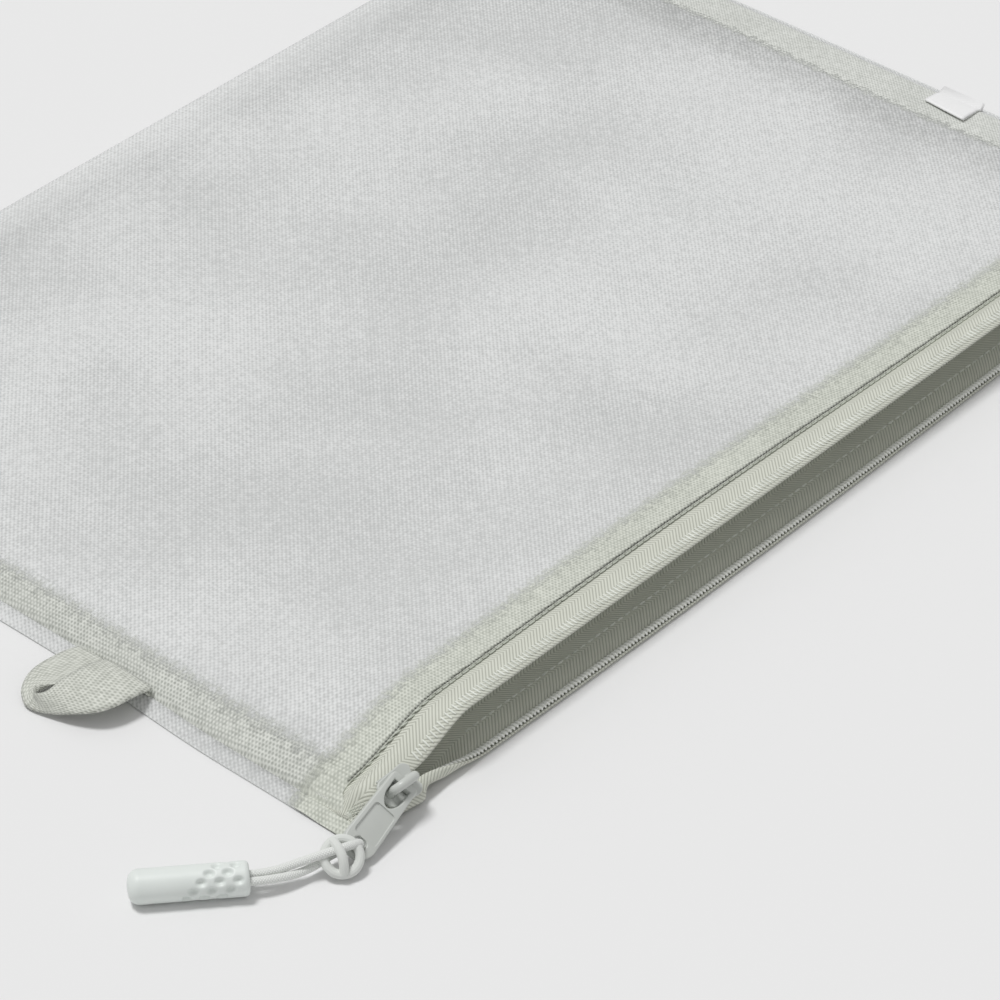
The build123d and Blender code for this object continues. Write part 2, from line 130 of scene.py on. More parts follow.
def add_piece(
    name: str, points: np.ndarray, faces: list, cloth_at: np.ndarray | None = None, closed: bool = False
) -> bpy.types.Object:
    """Makes a mesh object from points in millimetres.

    Args:
        name: the piece's name.
        points: corner points, in the row's frame.
        faces: corner numbers of each face.
        cloth_at: for each point, where it lies in the flat material, in millimetres.
        closed: whether the faces enclose a body, so that they all turn outward.

    Returns:
        The new object, shaded smooth.
    """
    mesh = bpy.data.meshes.new(name)
    mesh.from_pydata((np.asarray(points, float) * MM).tolist(), [], faces)
    if closed:
        shell = bmesh.new()
        shell.from_mesh(mesh)
        bmesh.ops.recalc_face_normals(shell, faces=shell.faces)
        shell.to_mesh(mesh)
        shell.free()
    if cloth_at is not None:
        layer = mesh.uv_layers.new(name="cloth")
        corners = np.empty(len(mesh.loops), dtype=np.int32)
        mesh.loops.foreach_get("vertex_index", corners)
        layer.data.foreach_set("uv", (np.asarray(cloth_at, float)[corners] * MM).astype(np.float32).ravel())
    mesh.shade_smooth()
    return add_object(name, mesh)


def grid_faces(rows: int, columns: int, start: int = 0, flip: bool = False) -> list:
    """Quads of a grid of points that are numbered row by row."""
    faces = []
    for i in range(rows - 1):
        for j in range(columns - 1):
            a = start + i * columns + j
            quad = (a, a + columns, a + columns + 1, a + 1)
            faces.append(quad[::-1] if flip else quad)
    return faces


def ring_faces(rings: int, sides: int, start: int = 0) -> list:
    """Quads between rings of points that are numbered ring by ring.

    Args:
        rings: how many rings there are.
        sides: how many points each has.
        start: the first point's number.

    Returns:
        Corner numbers of each face.
    """
    faces = []
    for r in range(rings - 1):
        for s in range(sides):
            a = start + r * sides + s
            b = start + r * sides + (s + 1) % sides
            faces.append((a, b, b + sides, a + sides))
    return faces


def open_cloth(name: str, grid: np.ndarray, cloth_at: np.ndarray) -> bpy.types.Object:
    """Makes a sheet of no thickness from a grid of points."""
    rows, columns = grid.shape[:2]
    return add_piece(name, grid.reshape(-1, 3), grid_faces(rows, columns), cloth_at.reshape(-1, 2))


def grid_normals(grid: np.ndarray) -> np.ndarray:
    """Unit normals of a grid of points."""
    across = np.gradient(grid, axis=1)
    along = np.gradient(grid, axis=0)
    normals = np.cross(along, across)
    return normals / np.maximum(np.linalg.norm(normals, axis=2, keepdims=True), 1e-9)


def thick_cloth(name: str, grid: np.ndarray, cloth_at: np.ndarray, thickness: float) -> bpy.types.Object:
    """Makes a closed strip of cloth about a grid of points.

    Args:
        name: the piece's name.
        grid: points on the middle of the cloth, rows by columns.
        cloth_at: where each point lies in the flat cloth.
        thickness: the cloth's thickness.

    Returns:
        The new object.
    """
    rows, columns = grid.shape[:2]
    lift = grid_normals(grid) * thickness / 2
    count = rows * columns
    points = np.vstack([(grid + lift).reshape(-1, 3), (grid - lift).reshape(-1, 3)])
    faces = grid_faces(rows, columns) + grid_faces(rows, columns, count, True)
    rim = [i * columns for i in range(rows)]
    rim += [(rows - 1) * columns + j for j in range(1, columns)]
    rim += [i * columns + columns - 1 for i in range(rows - 2, -1, -1)]
    rim += list(range(columns - 2, 0, -1))
    for a, b in zip(rim, rim[1:] + rim[:1]):
        faces.append((b, a, a + count, b + count))
    at = cloth_at.reshape(-1, 2)
    return add_piece(name, points, faces, np.vstack([at, at]), True)


def mesh_of(source: bpy.types.Object, name: str, place: Matrix | None = None) -> bpy.types.Object:
    """Turns a curve or a modified object into a plain mesh and removes the source.

    Args:
        source: the object to turn into a mesh.
        name: the new piece's name.
        place: where to put it, in metres.

    Returns:
        The new mesh object, at the origin.
    """
    bpy.context.view_layer.update()
    found = source.evaluated_get(bpy.context.evaluated_depsgraph_get())
    mesh = bpy.data.meshes.new_from_object(found)
    mesh.name = name
    if place is not None:
        mesh.transform(place)
    bpy.data.objects.remove(source, do_unlink=True)
    return add_object(name, mesh)


def arc(middle: tuple, radius: float, start: float, end: float, steps: int) -> list:
    """Points of an arc about a middle, between two angles in degrees."""
    turns = np.radians(np.linspace(start, end, steps))
    return [(middle[0] + radius * math.cos(t), middle[1] + radius * math.sin(t)) for t in turns]


def rounded_box(length: float, width: float, radius: float, steps: int = 6) -> list:
    """Outline of a rectangle with rounded corners about the origin."""
    a = length / 2 - radius
    b = width / 2 - radius
    outline = []
    for x, y, start in ((a, b, 0), (-a, b, 90), (-a, -b, 180), (a, -b, 270)):
        outline += arc((x, y), radius, start, start + 90, steps)
    return outline


def plate(name: str, outlines: list, thickness: float, bevel: float, place: Matrix) -> bpy.types.Object:
    """Makes a flat plate with holes and softened edges.

    Args:
        name: the piece's name.
        outlines: the outer outline, then the holes, in millimetres.
        thickness: over both faces.
        bevel: how far the edges are rounded.
        place: the plate's middle plane, in metres.

    Returns:
        The new mesh object.
    """
    curve = bpy.data.curves.new(name, "CURVE")
    curve.dimensions = "2D"
    curve.fill_mode = "BOTH"
    curve.extrude = (thickness / 2 - bevel) * MM
    curve.bevel_depth = bevel * MM
    curve.bevel_resolution = 5
    curve.offset = -bevel * MM
    for outline in outlines:
        spline = curve.splines.new("POLY")
        spline.points.add(len(outline) - 1)
        for point, (x, y) in zip(spline.points, outline):
            point.co = (x * MM, y * MM, 0, 1)
        spline.use_cyclic_u = True
    piece = mesh_of(add_object(name, curve), name, place)
    soften(piece)
    return piece


def soften(piece: bpy.types.Object) -> None:
    """Shades a piece smooth, with its corners kept sharp."""
    piece.data.shade_smooth()
    piece.data.set_sharp_from_angle(angle=math.radians(SHARP_TURN))


def place_on(origin: tuple, first: tuple, second: tuple, third: tuple) -> Matrix:
    """A place with its own axes.

    Args:
        origin: its origin, in millimetres.
        first: direction of its X axis.
        second: direction of its Y axis.
        third: direction of its Z axis.

    Returns:
        The place as a matrix, in metres.
    """
    place = Matrix((first, second, third)).transposed().to_4x4()
    place.translation = Vector(origin) * MM
    return place


def cut_out(piece: bpy.types.Object, cutter: bpy.types.Object) -> bpy.types.Object:
    """Takes a cutter's shape out of a piece and removes the cutter."""
    cut = piece.modifiers.new("recess", "BOOLEAN")
    cut.operation = "DIFFERENCE"
    cut.solver = "EXACT"
    cut.object = cutter
    done = mesh_of(piece, piece.name)
    bpy.data.objects.remove(cutter, do_unlink=True)
    soften(done)
    return done


def tube(
    name: str, path: np.ndarray, radii: np.ndarray | float, sides: int = 12, ring: bool = False
) -> bpy.types.Object:
    """Makes a round bar along a line.

    Args:
        name: the piece's name.
        path: points of its middle line, in millimetres.
        radii: its radius, one for all points or one each.
        sides: how many sides it has.
        ring: whether its end meets its start.

    Returns:
        The new object.
    """
    path = np.asarray(path, float)
    count = len(path)
    radii = np.broadcast_to(radii, (count,))
    before = np.roll(path, 1, axis=0)
    after = np.roll(path, -1, axis=0)
    if not ring:
        before[0] = path[0]
        after[-1] = path[-1]
    ways = after - before
    ways /= np.linalg.norm(ways, axis=1, keepdims=True)
    aside = (0.31, 0.17, 0.93)
    side = np.cross(ways[0], aside)
    sides_at = []
    for way in ways:
        side = side - way * side.dot(way)
        side = side / np.linalg.norm(side)
        sides_at.append(side)
    twist = 0.0
    if ring:
        last = sides_at[-1] - ways[0] * sides_at[-1].dot(ways[0])
        twist = math.atan2(np.cross(last, sides_at[0]).dot(ways[0]), last.dot(sides_at[0]))
    points = []
    for i in range(count):
        other = np.cross(ways[i], sides_at[i])
        for s in range(sides):
            a = 2 * math.pi * s / sides + twist * i / count
            points.append(path[i] + radii[i] * (math.cos(a) * sides_at[i] + math.sin(a) * other))
    faces = ring_faces(count, sides)
    final = (count - 1) * sides
    if ring:
        for s in range(sides):
            beside = (s + 1) % sides
            faces.append((final + s, final + beside, beside, s))
    else:
        faces.append(tuple(range(sides)))
        faces.append(tuple(final + s for s in range(sides)))
    along = run_along(path)
    at = np.array([(along[i], s) for i in range(count) for s in range(sides)])
    return add_piece(name, np.array(points), faces, at, True)


def stitches(
    name: str, middles: np.ndarray, ways: np.ndarray, ups: np.ndarray, size: tuple
) -> bpy.types.Object:
    """Makes a row of thread stitches, each a short rounded bar.

    Args:
        name: the piece's name.
        middles: where the stitches are.
        ways: the direction that each runs in.
        ups: the direction that each stands up in.
        size: length, width and height of one stitch.

    Returns:
        The new object.
    """
    length, width, height = size
    rings = ((-0.5, 0.3), (-0.42, 0.75), (-0.2, 1.0), (0.2, 1.0), (0.42, 0.75), (0.5, 0.3))
    sides = 6
    points = []
    faces = []
    for middle, way, up in zip(np.asarray(middles), np.asarray(ways), np.asarray(ups)):
        start = len(points)
        across = np.cross(way, up)
        for share, swell in rings:
            for s in range(sides):
                a = 2 * math.pi * s / sides
                wide = across * (math.cos(a) * width / 2 * swell)
                tall = up * (math.sin(a) * height / 2 * swell)
                points.append(middle + way * (share * length) + (wide + tall))
        faces += ring_faces(len(rings), sides, start)
        for end in (start, start + (len(rings) - 1) * sides):
            faces.append(tuple(end + s for s in range(sides)))
    return add_piece(name, np.array(points), faces, None, True)


def join(name: str, parts: list) -> bpy.types.Object:
    """Joins mesh objects at the origin into one piece."""
    points = []
    faces = []
    for part in parts:
        start = len(points)
        points += [v.co[:] for v in part.data.vertices]
        faces += [[start + v for v in p.vertices] for p in part.data.polygons]
        bpy.data.objects.remove(part, do_unlink=True)
    mesh = bpy.data.meshes.new(name)
    mesh.from_pydata(points, [], faces)
    piece = add_object(name, mesh)
    soften(piece)
    return piece


class Board:
    """A material's node tree, with short calls for the nodes that the finishes share."""

    def __init__(self, name: str) -> None:
        """Starts an empty material with one principled shader."""
        self.material = bpy.data.materials.new(name)
        self.material.use_nodes = True
        self.tree = self.material.node_tree
        self.tree.nodes.clear()
        self.output = self.add("ShaderNodeOutputMaterial")
        self.shader = self.add("ShaderNodeBsdfPrincipled")
        self.link(self.shader.outputs["BSDF"], self.output.inputs["Surface"])

    def add(self, kind: str, **settings) -> bpy.types.Node:
        """Adds a node and sets its properties."""
        node = self.tree.nodes.new(kind)
        for name, value in settings.items():
            setattr(node, name, value)
        return node

    def link(self, source: bpy.types.NodeSocket, target: bpy.types.NodeSocket) -> None:
        """Joins two sockets."""
        self.tree.links.new(source, target)

    def put(self, target: bpy.types.NodeSocket, value) -> None:
        """Links a socket to a target, or sets a plain value on it."""
        if isinstance(value, bpy.types.NodeSocket):
            self.link(value, target)
        else:
            target.default_value = value

    def math(self, operation: str, first, second=0.0, third=0.0) -> bpy.types.NodeSocket:
        """One step of arithmetic.

        Args:
            operation: Blender's name of the operation.
            first: a socket or a number.
            second: a socket or a number.
            third: a socket or a number.

        Returns:
            The result's socket.
        """
        node = self.add("ShaderNodeMath", operation=operation)
        for target, value in zip(node.inputs, (first, second, third)):
            self.put(target, value)
        return node.outputs[0]

    def between(
        self, value, low: float, high: float, to_low: float, to_high: float
    ) -> bpy.types.NodeSocket:
        """Maps a range of values smoothly to another."""
        node = self.add("ShaderNodeMapRange", interpolation_type="SMOOTHSTEP")
        for target, number in zip(node.inputs, (value, low, high, to_low, to_high)):
            self.put(target, number)
        return node.outputs[0]

    def widened(self, pattern) -> bpy.types.NodeSocket:
        """Spreads noise, which keeps near its middle, over 0 to 1."""
        return self.between(pattern, 0.3, 0.7, 0.0, 1.0)

    def about_zero(self, pattern, contrast: float) -> bpy.types.NodeSocket:
        """Spreads a pattern of 0 to 1 evenly about 0, over a contrast."""
        return self.math("MULTIPLY_ADD", pattern, contrast, -contrast / 2)

    def colour(self, share, dark: tuple, light: tuple) -> None:
        """Colours the surface between two colours, by a share."""
        node = self.add("ShaderNodeMix", data_type="RGBA")
        self.put(node.inputs["Factor"], share)
        node.inputs[6].default_value = (*dark, 1)
        node.inputs[7].default_value = (*light, 1)
        self.link(node.outputs[2], self.shader.inputs["Base Color"])

    def cloth_axes(self, turn: float = 0.0) -> tuple:
        """Where a point lies in its flat cloth, in millimetres.

        Args:
            turn: how far the threads are turned, in degrees.

        Returns:
            Sockets for the two directions.
        """
        place = self.add("ShaderNodeUVMap", uv_map="cloth")
        turned = self.add("ShaderNodeMapping")
        turned.inputs["Rotation"].default_value = (0, 0, math.radians(turn))
        turned.inputs["Scale"].default_value = (1 / MM, 1 / MM, 1)
        self.link(place.outputs[0], turned.inputs[0])
        split = self.add("ShaderNodeSeparateXYZ")
        self.link(turned.outputs[0], split.inputs[0])
        return split.outputs[0], split.outputs[1]

    def noise(self, scale: float, detail: float = 2.0) -> bpy.types.NodeSocket:
        """Soft noise in the object's own space, by features per metre."""
        place = self.add("ShaderNodeTexCoord")
        node = self.add("ShaderNodeTexNoise")
        node.inputs["Scale"].default_value = scale
        node.inputs["Detail"].default_value = detail
        self.link(place.outputs["Object"], node.inputs["Vector"])
        return node.outputs[0]

    def bump(self, height, depth: float) -> None:
        """Raises the surface by a height pattern of that depth in millimetres."""
        node = self.add("ShaderNodeBump")
        node.inputs["Strength"].default_value = 1.0
        node.inputs["Distance"].default_value = depth * MM
        self.link(height, node.inputs["Height"])
        self.link(node.outputs[0], self.shader.inputs["Normal"])

    def dashes(self, length: float, width: float) -> bpy.types.NodeSocket:
        """Uneven threads: short streaks in both directions of the cloth.

        Args:
            length: of a streak, in millimetres.
            width: of a streak, in millimetres.

        Returns:
            The pattern's socket, about 0 to 1.
        """
        along, across = self.cloth_axes()
        layers = []
        for first, second in ((length, width), (width, length)):
            place = self.add("ShaderNodeCombineXYZ")
            self.put(place.inputs[0], self.math("DIVIDE", along, first))
            self.put(place.inputs[1], self.math("DIVIDE", across, second))
            node = self.add("ShaderNodeTexNoise")
            node.inputs["Scale"].default_value = 1.0
            node.inputs["Detail"].default_value = 1.0
            self.link(place.outputs[0], node.inputs["Vector"])
            layers.append(self.widened(node.outputs[0]))
        return self.math("MULTIPLY", self.math("ADD", layers[0], layers[1]), 0.5)

    def crossed(self, waves: tuple, turn: float = 0.0) -> bpy.types.NodeSocket:
        """Sets of even lines laid over each other, as threads and layers of weave show.

        Args:
            waves: for each set, its lines in a millimetre along and across the cloth, and its weight.
            turn: how far the cloth's threads are turned, in degrees.

        Returns:
            The pattern's socket, about 0 to 1.
        """
        along, across = self.cloth_axes(turn)
        total = 0.5
        for first, second, weight in waves:
            place = self.math("MULTIPLY_ADD", along, first, self.math("MULTIPLY", across, second))
            wave = self.math("COSINE", self.math("MULTIPLY", place, 2 * math.pi))
            total = self.math("MULTIPLY_ADD", wave, weight, total)
        return total

    def finish(self, roughness: float, sheen: float) -> bpy.types.Material:
        """Sets how the surface scatters light and hands over the material."""
        self.shader.inputs["Roughness"].default_value = roughness
        self.shader.inputs["Sheen Weight"].default_value = sheen
        return self.material


@dataclass(frozen=True)
class SheerMesh:
    """Fine plain-weave nylon that lets the layers below show."""

    name: str
    light: tuple
    dark: tuple
    alphas: tuple
    turn: float = 0.0
    pitch: float = 0.69
    slants: tuple = (0.17, 0.33)
    weave: float = 0.45
    streak: tuple = (4.0, 0.7)
    streaks: float = 0.4
    cloud_scale: float = 14.0
    clouds: float = 0.3
    level: float = -0.07
    roughness: float = 0.55
    sheen: float = 0.25

    def make(self) -> bpy.types.Material:
        """Builds the material."""
        board = Board(self.name)
        lines = 0.5 / self.pitch
        rising, falling = self.slants
        weave = board.crossed(((lines, lines, rising), (lines, -lines, falling)), self.turn)
        cloud = board.widened(board.noise(self.cloud_scale, detail=3.0))
        cloud = board.math("MULTIPLY", cloud, self.clouds)
        threads = board.math("MULTIPLY_ADD", board.dashes(*self.streak), self.streaks, cloud)
        share = board.math("MULTIPLY_ADD", weave, self.weave, board.math("ADD", threads, self.level))
        # Where the weave opens, the dark colour is painted shade of the layers below, seen through the gaps
        # between threads.
        board.colour(share, self.dark, self.light)
        board.link(board.between(share, 0.1, 0.9, *self.alphas), board.shader.inputs["Alpha"])
        return board.finish(self.roughness, self.sheen)


@dataclass(frozen=True)
class DoubledMesh:
    """Mesh folded on itself, whose two layers cross in an uneven speckle."""

    name: str
    light: tuple
    dark: tuple
    depth: float = 0.1
    fade_axis: int = 0
    fade: tuple = ()
    waves: tuple = ((0.9, -0.93, 0.24), (1.2, 0.12, 0.22), (-0.28, -1.08, 0.2))
    streak: tuple = (2.6, 0.8)
    streaks: float = 0.6
    patch_scale: float = 80.0
    patches: float = 0.4
    ragged: float = 3.0
    roughness: float = 0.65
    sheen: float = 0.2

    def make(self) -> bpy.types.Material:
        """Builds the material, which fades out along one edge where a fade is given."""
        board = Board(self.name)
        height = board.crossed(self.waves)
        streaks = board.dashes(*self.streak)
        threads = board.about_zero(streaks, self.streaks)
        patch = board.about_zero(board.noise(self.patch_scale), self.patches)
        share = board.math("ADD", height, board.math("ADD", threads, patch))
        board.colour(share, self.dark, self.light)
        board.bump(height, self.depth)
        if self.fade:
            at = board.math("ABSOLUTE", board.cloth_axes()[self.fade_axis])
            ragged = board.math("ADD", at, board.about_zero(streaks, self.ragged))
            board.link(board.between(ragged, *self.fade, 0.0, 1.0), board.shader.inputs["Alpha"])
        return board.finish(self.roughness, self.sheen)


@dataclass(frozen=True)
class PlainWeave:
    """Dense plain weave of a woven label."""

    name: str
    light: tuple
    dark: tuple
    pitch: float = 0.35
    depth: float = 0.03
    worn_scale: float = 160.0
    worn: float = 0.5
    roughness: float = 0.45
    sheen: float = 0.1

    def make(self) -> bpy.types.Material:
        """Builds the material."""
        board = Board(self.name)
        threads = []
        for at in board.cloth_axes():
            threads.append(board.math("SINE", board.math("MULTIPLY", at, math.pi / self.pitch)))
        cell = board.math("MULTIPLY", *threads)
        worn = board.about_zero(board.noise(self.worn_scale), self.worn)
        share = board.math("ADD", board.between(cell, -0.7, 0.7, 0.15, 0.85), worn)
        board.colour(share, self.dark, self.light)
        board.bump(board.math("ABSOLUTE", cell), self.depth)
        return board.finish(self.roughness, self.sheen)


@dataclass(frozen=True)
class Herringbone:
    """Twill of a zip tape, whose ribs change direction from column to column."""

    name: str
    light: tuple
    dark: tuple
    rib: float = 1.05
    column: float = 4.6
    shift: float = 1.4
    depth: float = 0.1
    worn_scale: float = 140.0
    worn: float = 0.3
    roughness: float = 0.7
    sheen: float = 0.15

    def make(self) -> bpy.types.Material:
        """Builds the material."""
        board = Board(self.name)
        along, across = board.cloth_axes()
        slant = board.math("PINGPONG", board.math("ADD", across, self.shift), self.column)
        turn = board.math("MULTIPLY", board.math("ADD", along, slant), math.pi / self.rib)
        ribs = board.math("ABSOLUTE", board.math("SINE", turn))
        worn = board.about_zero(board.noise(self.worn_scale), self.worn)
        share = board.math("ADD", board.between(ribs, 0.1, 0.95, 0.05, 0.95), worn)
        board.colour(share, self.dark, self.light)
        board.bump(ribs, self.depth)
        return board.finish(self.roughness, self.sheen)


@dataclass(frozen=True)
class Moulded:
    """Plastic or paint with a fine uneven skin."""

    name: str
    light: tuple
    dark: tuple
    roughness: float
    grain: float
    depth: float
    coat: float = 0.0
    uneven: float = 0.05
    patch_size: float = 12.0
    gloss_size: float = 4.0

    def make(self) -> bpy.types.Material:
        """Builds the material."""
        board = Board(self.name)
        patch = board.widened(board.noise(self.grain / self.patch_size))
        board.colour(patch, self.dark, self.light)
        board.bump(board.noise(self.grain, detail=3.0), self.depth)
        low = self.roughness - self.uneven
        high = self.roughness + self.uneven
        rough = board.between(board.noise(self.grain / self.gloss_size), 0.2, 0.8, low, high)
        board.link(rough, board.shader.inputs["Roughness"])
        board.shader.inputs["Coat Weight"].default_value = self.coat
        return board.material


@dataclass(frozen=True)
class Braid:
    """Braided sheath of a round cord."""

    name: str
    light: tuple
    dark: tuple
    strands: float
    pitch: float
    depth: float = 0.1
    roughness: float = 0.75
    sheen: float = 0.2

    def make(self) -> bpy.types.Material:
        """Builds the material."""
        board = Board(self.name)
        place = board.add("ShaderNodeUVMap")
        split = board.add("ShaderNodeSeparateXYZ")
        board.link(place.outputs[0], split.inputs[0])
        along = board.math("MULTIPLY", split.outputs[0], self.pitch)
        around = board.math("MULTIPLY", split.outputs[1], self.strands)
        strands = []
        for operation in ("ADD", "SUBTRACT"):
            turn = board.math("MULTIPLY", board.math(operation, along, around), math.pi)
            strands.append(board.math("SINE", turn))
        cell = board.math("ABSOLUTE", board.math("MULTIPLY", *strands))
        board.colour(cell, self.dark, self.light)
        board.bump(cell, self.depth)
        return board.finish(self.roughness, self.sheen)


class Finishes:
    """All finishes of the wallet, made once."""

    def __init__(self) -> None:
        """Builds every material."""
        # The top panel's colours are painted lighter than its thread would be, standing in for the light
        # that shines through its single thin layer.
        self.top_mesh = SheerMesh(
            "top_mesh", (0.90, 0.91, 0.905), (0.70, 0.712, 0.707), alphas=(0.5, 0.78)
        ).make()
        # A lighter copy of the mesh for the back allowance: painted light that makes up for the shade of
        # the layers over and under it.
        self.back_mesh_painted_light = SheerMesh(
            "back_mesh_painted_light", (0.97, 0.975, 0.97), (0.88, 0.89, 0.88), alphas=(0.3, 0.5)
        ).make()
        self.bottom_mesh = SheerMesh(
            "bottom_mesh", (0.85, 0.865, 0.855), (0.66, 0.675, 0.66), alphas=(0.6, 0.86), turn=1.1
        ).make()
        # The folded bands are denser and greener than the panel, and their colours are also painted darker,
        # as shade where little light comes through the folded layers.
        light = (0.70, 0.72, 0.645)
        dark = (0.43, 0.45, 0.392)
        self.band = DoubledMesh("hem_weave", light, dark, fade_axis=1, fade=(0.4, 6.6)).make()
        self.lower_band = DoubledMesh("lower_hem_weave", light, dark).make()
        self.loop_band = DoubledMesh(
            "loop_side_weave", (0.70, 0.715, 0.665), (0.38, 0.395, 0.36), fade=(155.2, 160.6)
        ).make()
        self.label_band = DoubledMesh(
            "label_side_weave", (0.78, 0.795, 0.755), (0.46, 0.475, 0.44), fade=(143.4, 147.4)
        ).make()
        self.ribbon = DoubledMesh(
            "ribbon_weave", (0.73, 0.745, 0.68), (0.42, 0.435, 0.385), depth=0.12
        ).make()
        self.label = PlainWeave("label_weave", (0.93, 0.93, 0.93), (0.86, 0.86, 0.86)).make()
        self.tape = Herringbone("zip_tape_twill", (0.675, 0.69, 0.61), (0.43, 0.44, 0.375)).make()
        self.coil = Moulded(
            "coil_nylon", (0.92, 0.93, 0.89), (0.87, 0.88, 0.84), roughness=0.4, grain=900.0, depth=0.01
        ).make()
        self.thread = Moulded(
            "sewing_thread", (0.80, 0.82, 0.76), (0.66, 0.68, 0.62), roughness=0.7, grain=2500.0, depth=0.05
        ).make()
        self.hem_thread = Moulded(
            "hem_thread", (0.60, 0.63, 0.56), (0.50, 0.53, 0.46), roughness=0.7, grain=2500.0, depth=0.05
        ).make()
        self.paint = Moulded(
            "slider_paint", (0.58, 0.60, 0.57), (0.54, 0.56, 0.53),
            roughness=0.34, grain=1400.0, depth=0.01, coat=0.15,
        ).make()
        self.cord = Braid(
            "cord_braid", (0.90, 0.915, 0.89), (0.74, 0.76, 0.73), strands=8.0, pitch=110.0
        ).make()
        self.hitch = Braid(
            "hitch_braid", (0.86, 0.875, 0.85), (0.70, 0.72, 0.69), strands=500.0, pitch=1900.0
        ).make()
        self.grip = Moulded(
            "grip_plastic", (0.76, 0.80, 0.772), (0.74, 0.78, 0.752),
            roughness=0.42, grain=1100.0, depth=0.015,
        ).make()


def settle(
    piece: bpy.types.Object,
    body: Body,
    finish: bpy.types.Material,
    nodes: tuple = (),
    flattens: bool = False,
) -> bpy.types.Object:
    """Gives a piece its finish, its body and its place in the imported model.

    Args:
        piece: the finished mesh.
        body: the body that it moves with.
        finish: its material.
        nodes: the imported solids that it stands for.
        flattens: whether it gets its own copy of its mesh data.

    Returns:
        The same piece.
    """
    piece.data.materials.clear()
    piece.data.materials.append(finish)
    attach(piece, body.value)
    if nodes:
        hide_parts(*nodes)
    if flattens:
        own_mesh(piece)
    log.info("%s rides on %s", piece.name, body.value)
    return piece


@dataclass
class Pouch:
    """The two mesh panels with the folded bands along their edges."""

    half_length: float = 167.5
    back: float = 120.0
    hem_edge: float = -111.5
    hem_width: float = 12.0
    rim: float = 4.9
    pocket: float = 8.0
    mouth: float = 14.2
    edge_run: float = 26.0
    mouth_run: float = 36.0
    lip_run: float = 40.0
    roll: float = 3.4
    roll_drop: float = 3.0
    slope_run: float = 8.0
    slope_drop: float = 4.45
    slope_bend: float = 0.45
    rim_out: float = 1.2
    lean_out: float = 2.6
    seam_inset: float = 2.6
    label_inset: float = 6.2
    seam_depth: float = 0.8
    seam_half: float = 0.5
    band_width: float = 10.5
    label_band_width: float = 18.5
    ripples: tuple = (0.5, 0.3, 0.2)
    ripple_runs: tuple = (41.0, 37.0, 29.0, 19.0)
    ripple_starts: tuple = (0.6, -0.4, 1.1)
    ripple_slants: tuple = (1.7, -0.8)
    pucker: float = 0.17
    pucker_pitch: float = 9.5
    pucker_slant: float = 3.4
    pucker_drift: float = 1.3
    drift_run: float = 23.0
    pucker_level: float = 1.1
    pucker_waves: tuple = (0.7, 0.3)
    wave_run: float = 31.0
    fold: float = 0.3
    step: float = 2.4
    band_lift: float = 0.1
    band_thickness: float = 0.16
    allowance_gap: float = 0.3
    sleeve: float = 9.0
    sleeve_start: float = 161.2
    sleeve_run: float = 5.0
    slack_rise: float = 1.2
    slack_middle: float = 15.0
    slack_run: float = 48.0
    lean_front: float = -20.0
    lean_run: float = 60.0
    lean_side: float = 150.0
    lean_side_run: float = 17.0
    lower_level: float = 0.25
    layer_gap: float = 0.5
    below_level: float = 0.5
    lower_hem_level: float = 0.6
    lower_hem_inset: float = 3.0
    turn_under: float = 2.0
    band_front: float = 1.5
    band_rear: float = 3.0
    even_inset: float = 8.5
    hem_over: float = 0.1

    def hem_height(self, x: np.ndarray | float) -> np.ndarray | float:
        """Height of the upper lip's hem along the zip."""
        slack = self.slack_rise * np.sin((self.slack_middle - np.asarray(x)) / self.slack_run)
        return mix(self.rim, self.mouth + slack, ease((self.half_length - np.abs(x)) / self.mouth_run))

    def ripple(self, x: np.ndarray, y: np.ndarray) -> np.ndarray:
        """Slack of the upper panel: a few long, low waves.

        Args:
            x: places along the zip.
            y: places across the wallet.

        Returns:
            Height to add, in millimetres.
        """
        square, rising, falling = self.ripples
        along, across, rising_run, falling_run = self.ripple_runs
        first, second, third = self.ripple_starts
        waves = square * np.sin(x / along + first) * np.cos(y / across + second)
        waves += rising * np.sin((x + self.ripple_slants[0] * y) / rising_run + third)
        waves += falling * np.cos((x + self.ripple_slants[1] * y) / falling_run)
        return waves

    def rolled(self, y: np.ndarray) -> np.ndarray:
        """How far the cloth has rolled over at a place: 0 on the panel, 1 at its back edge."""
        near = np.clip((self.back - y) / self.roll, 0.0, 1.0)
        return 1 - np.sqrt(1 - (1 - near) ** 2)

    def height(self, x: np.ndarray, y: np.ndarray) -> np.ndarray:
        """Height of the upper panel's outer face.

        Args:
            x: places along the zip.
            y: places across the wallet.

        Returns:
            Heights in millimetres.
        """
        side = self.half_length - np.abs(x)
        inside = ease(side / self.edge_run) * ease((self.back - y) / self.edge_run)
        body = self.rim + (self.pocket - self.rim + self.ripple(x, y)) * inside
        lip = ease((self.hem_edge + self.hem_width + self.lip_run - y) / (self.lip_run + self.hem_width))
        level = mix(body, self.hem_height(x), lip)
        back_drop = self.roll_drop * self.rolled(y)
        slope = np.clip((self.slope_run - side) / (self.slope_run + self.rim_out), 0.0, 1.0)
        side_drop = self.slope_drop * slope * (1 - self.slope_bend + self.slope_bend * slope)
        pull = self.seam_depth * np.exp(-(((side - self.seam_inset) / self.seam_half) ** 2))
        return level - pull - np.maximum(back_drop, side_drop)

    def lean(self, grid: np.ndarray) -> np.ndarray:
        """Spreads the loop's side outward towards the front corner, as the slack cloth lies there.

        Args:
            grid: points with x, y and z last.

        Returns:
            The same points, with those near that side moved.
        """
        moved = np.array(grid, float)
        front = ease((self.lean_front - moved[..., 1]) / self.lean_run)
        side = ease((-moved[..., 0] - self.lean_side) / self.lean_side_run)
        moved[..., 0] -= self.lean_out * (front * side)
        return moved

    def flat_run(self, line: np.ndarray, places: np.ndarray) -> np.ndarray:
        """Distances along a line across the panel, counted from its middle."""
        run = run_along(line)
        return run - np.interp(0.0, places, run)

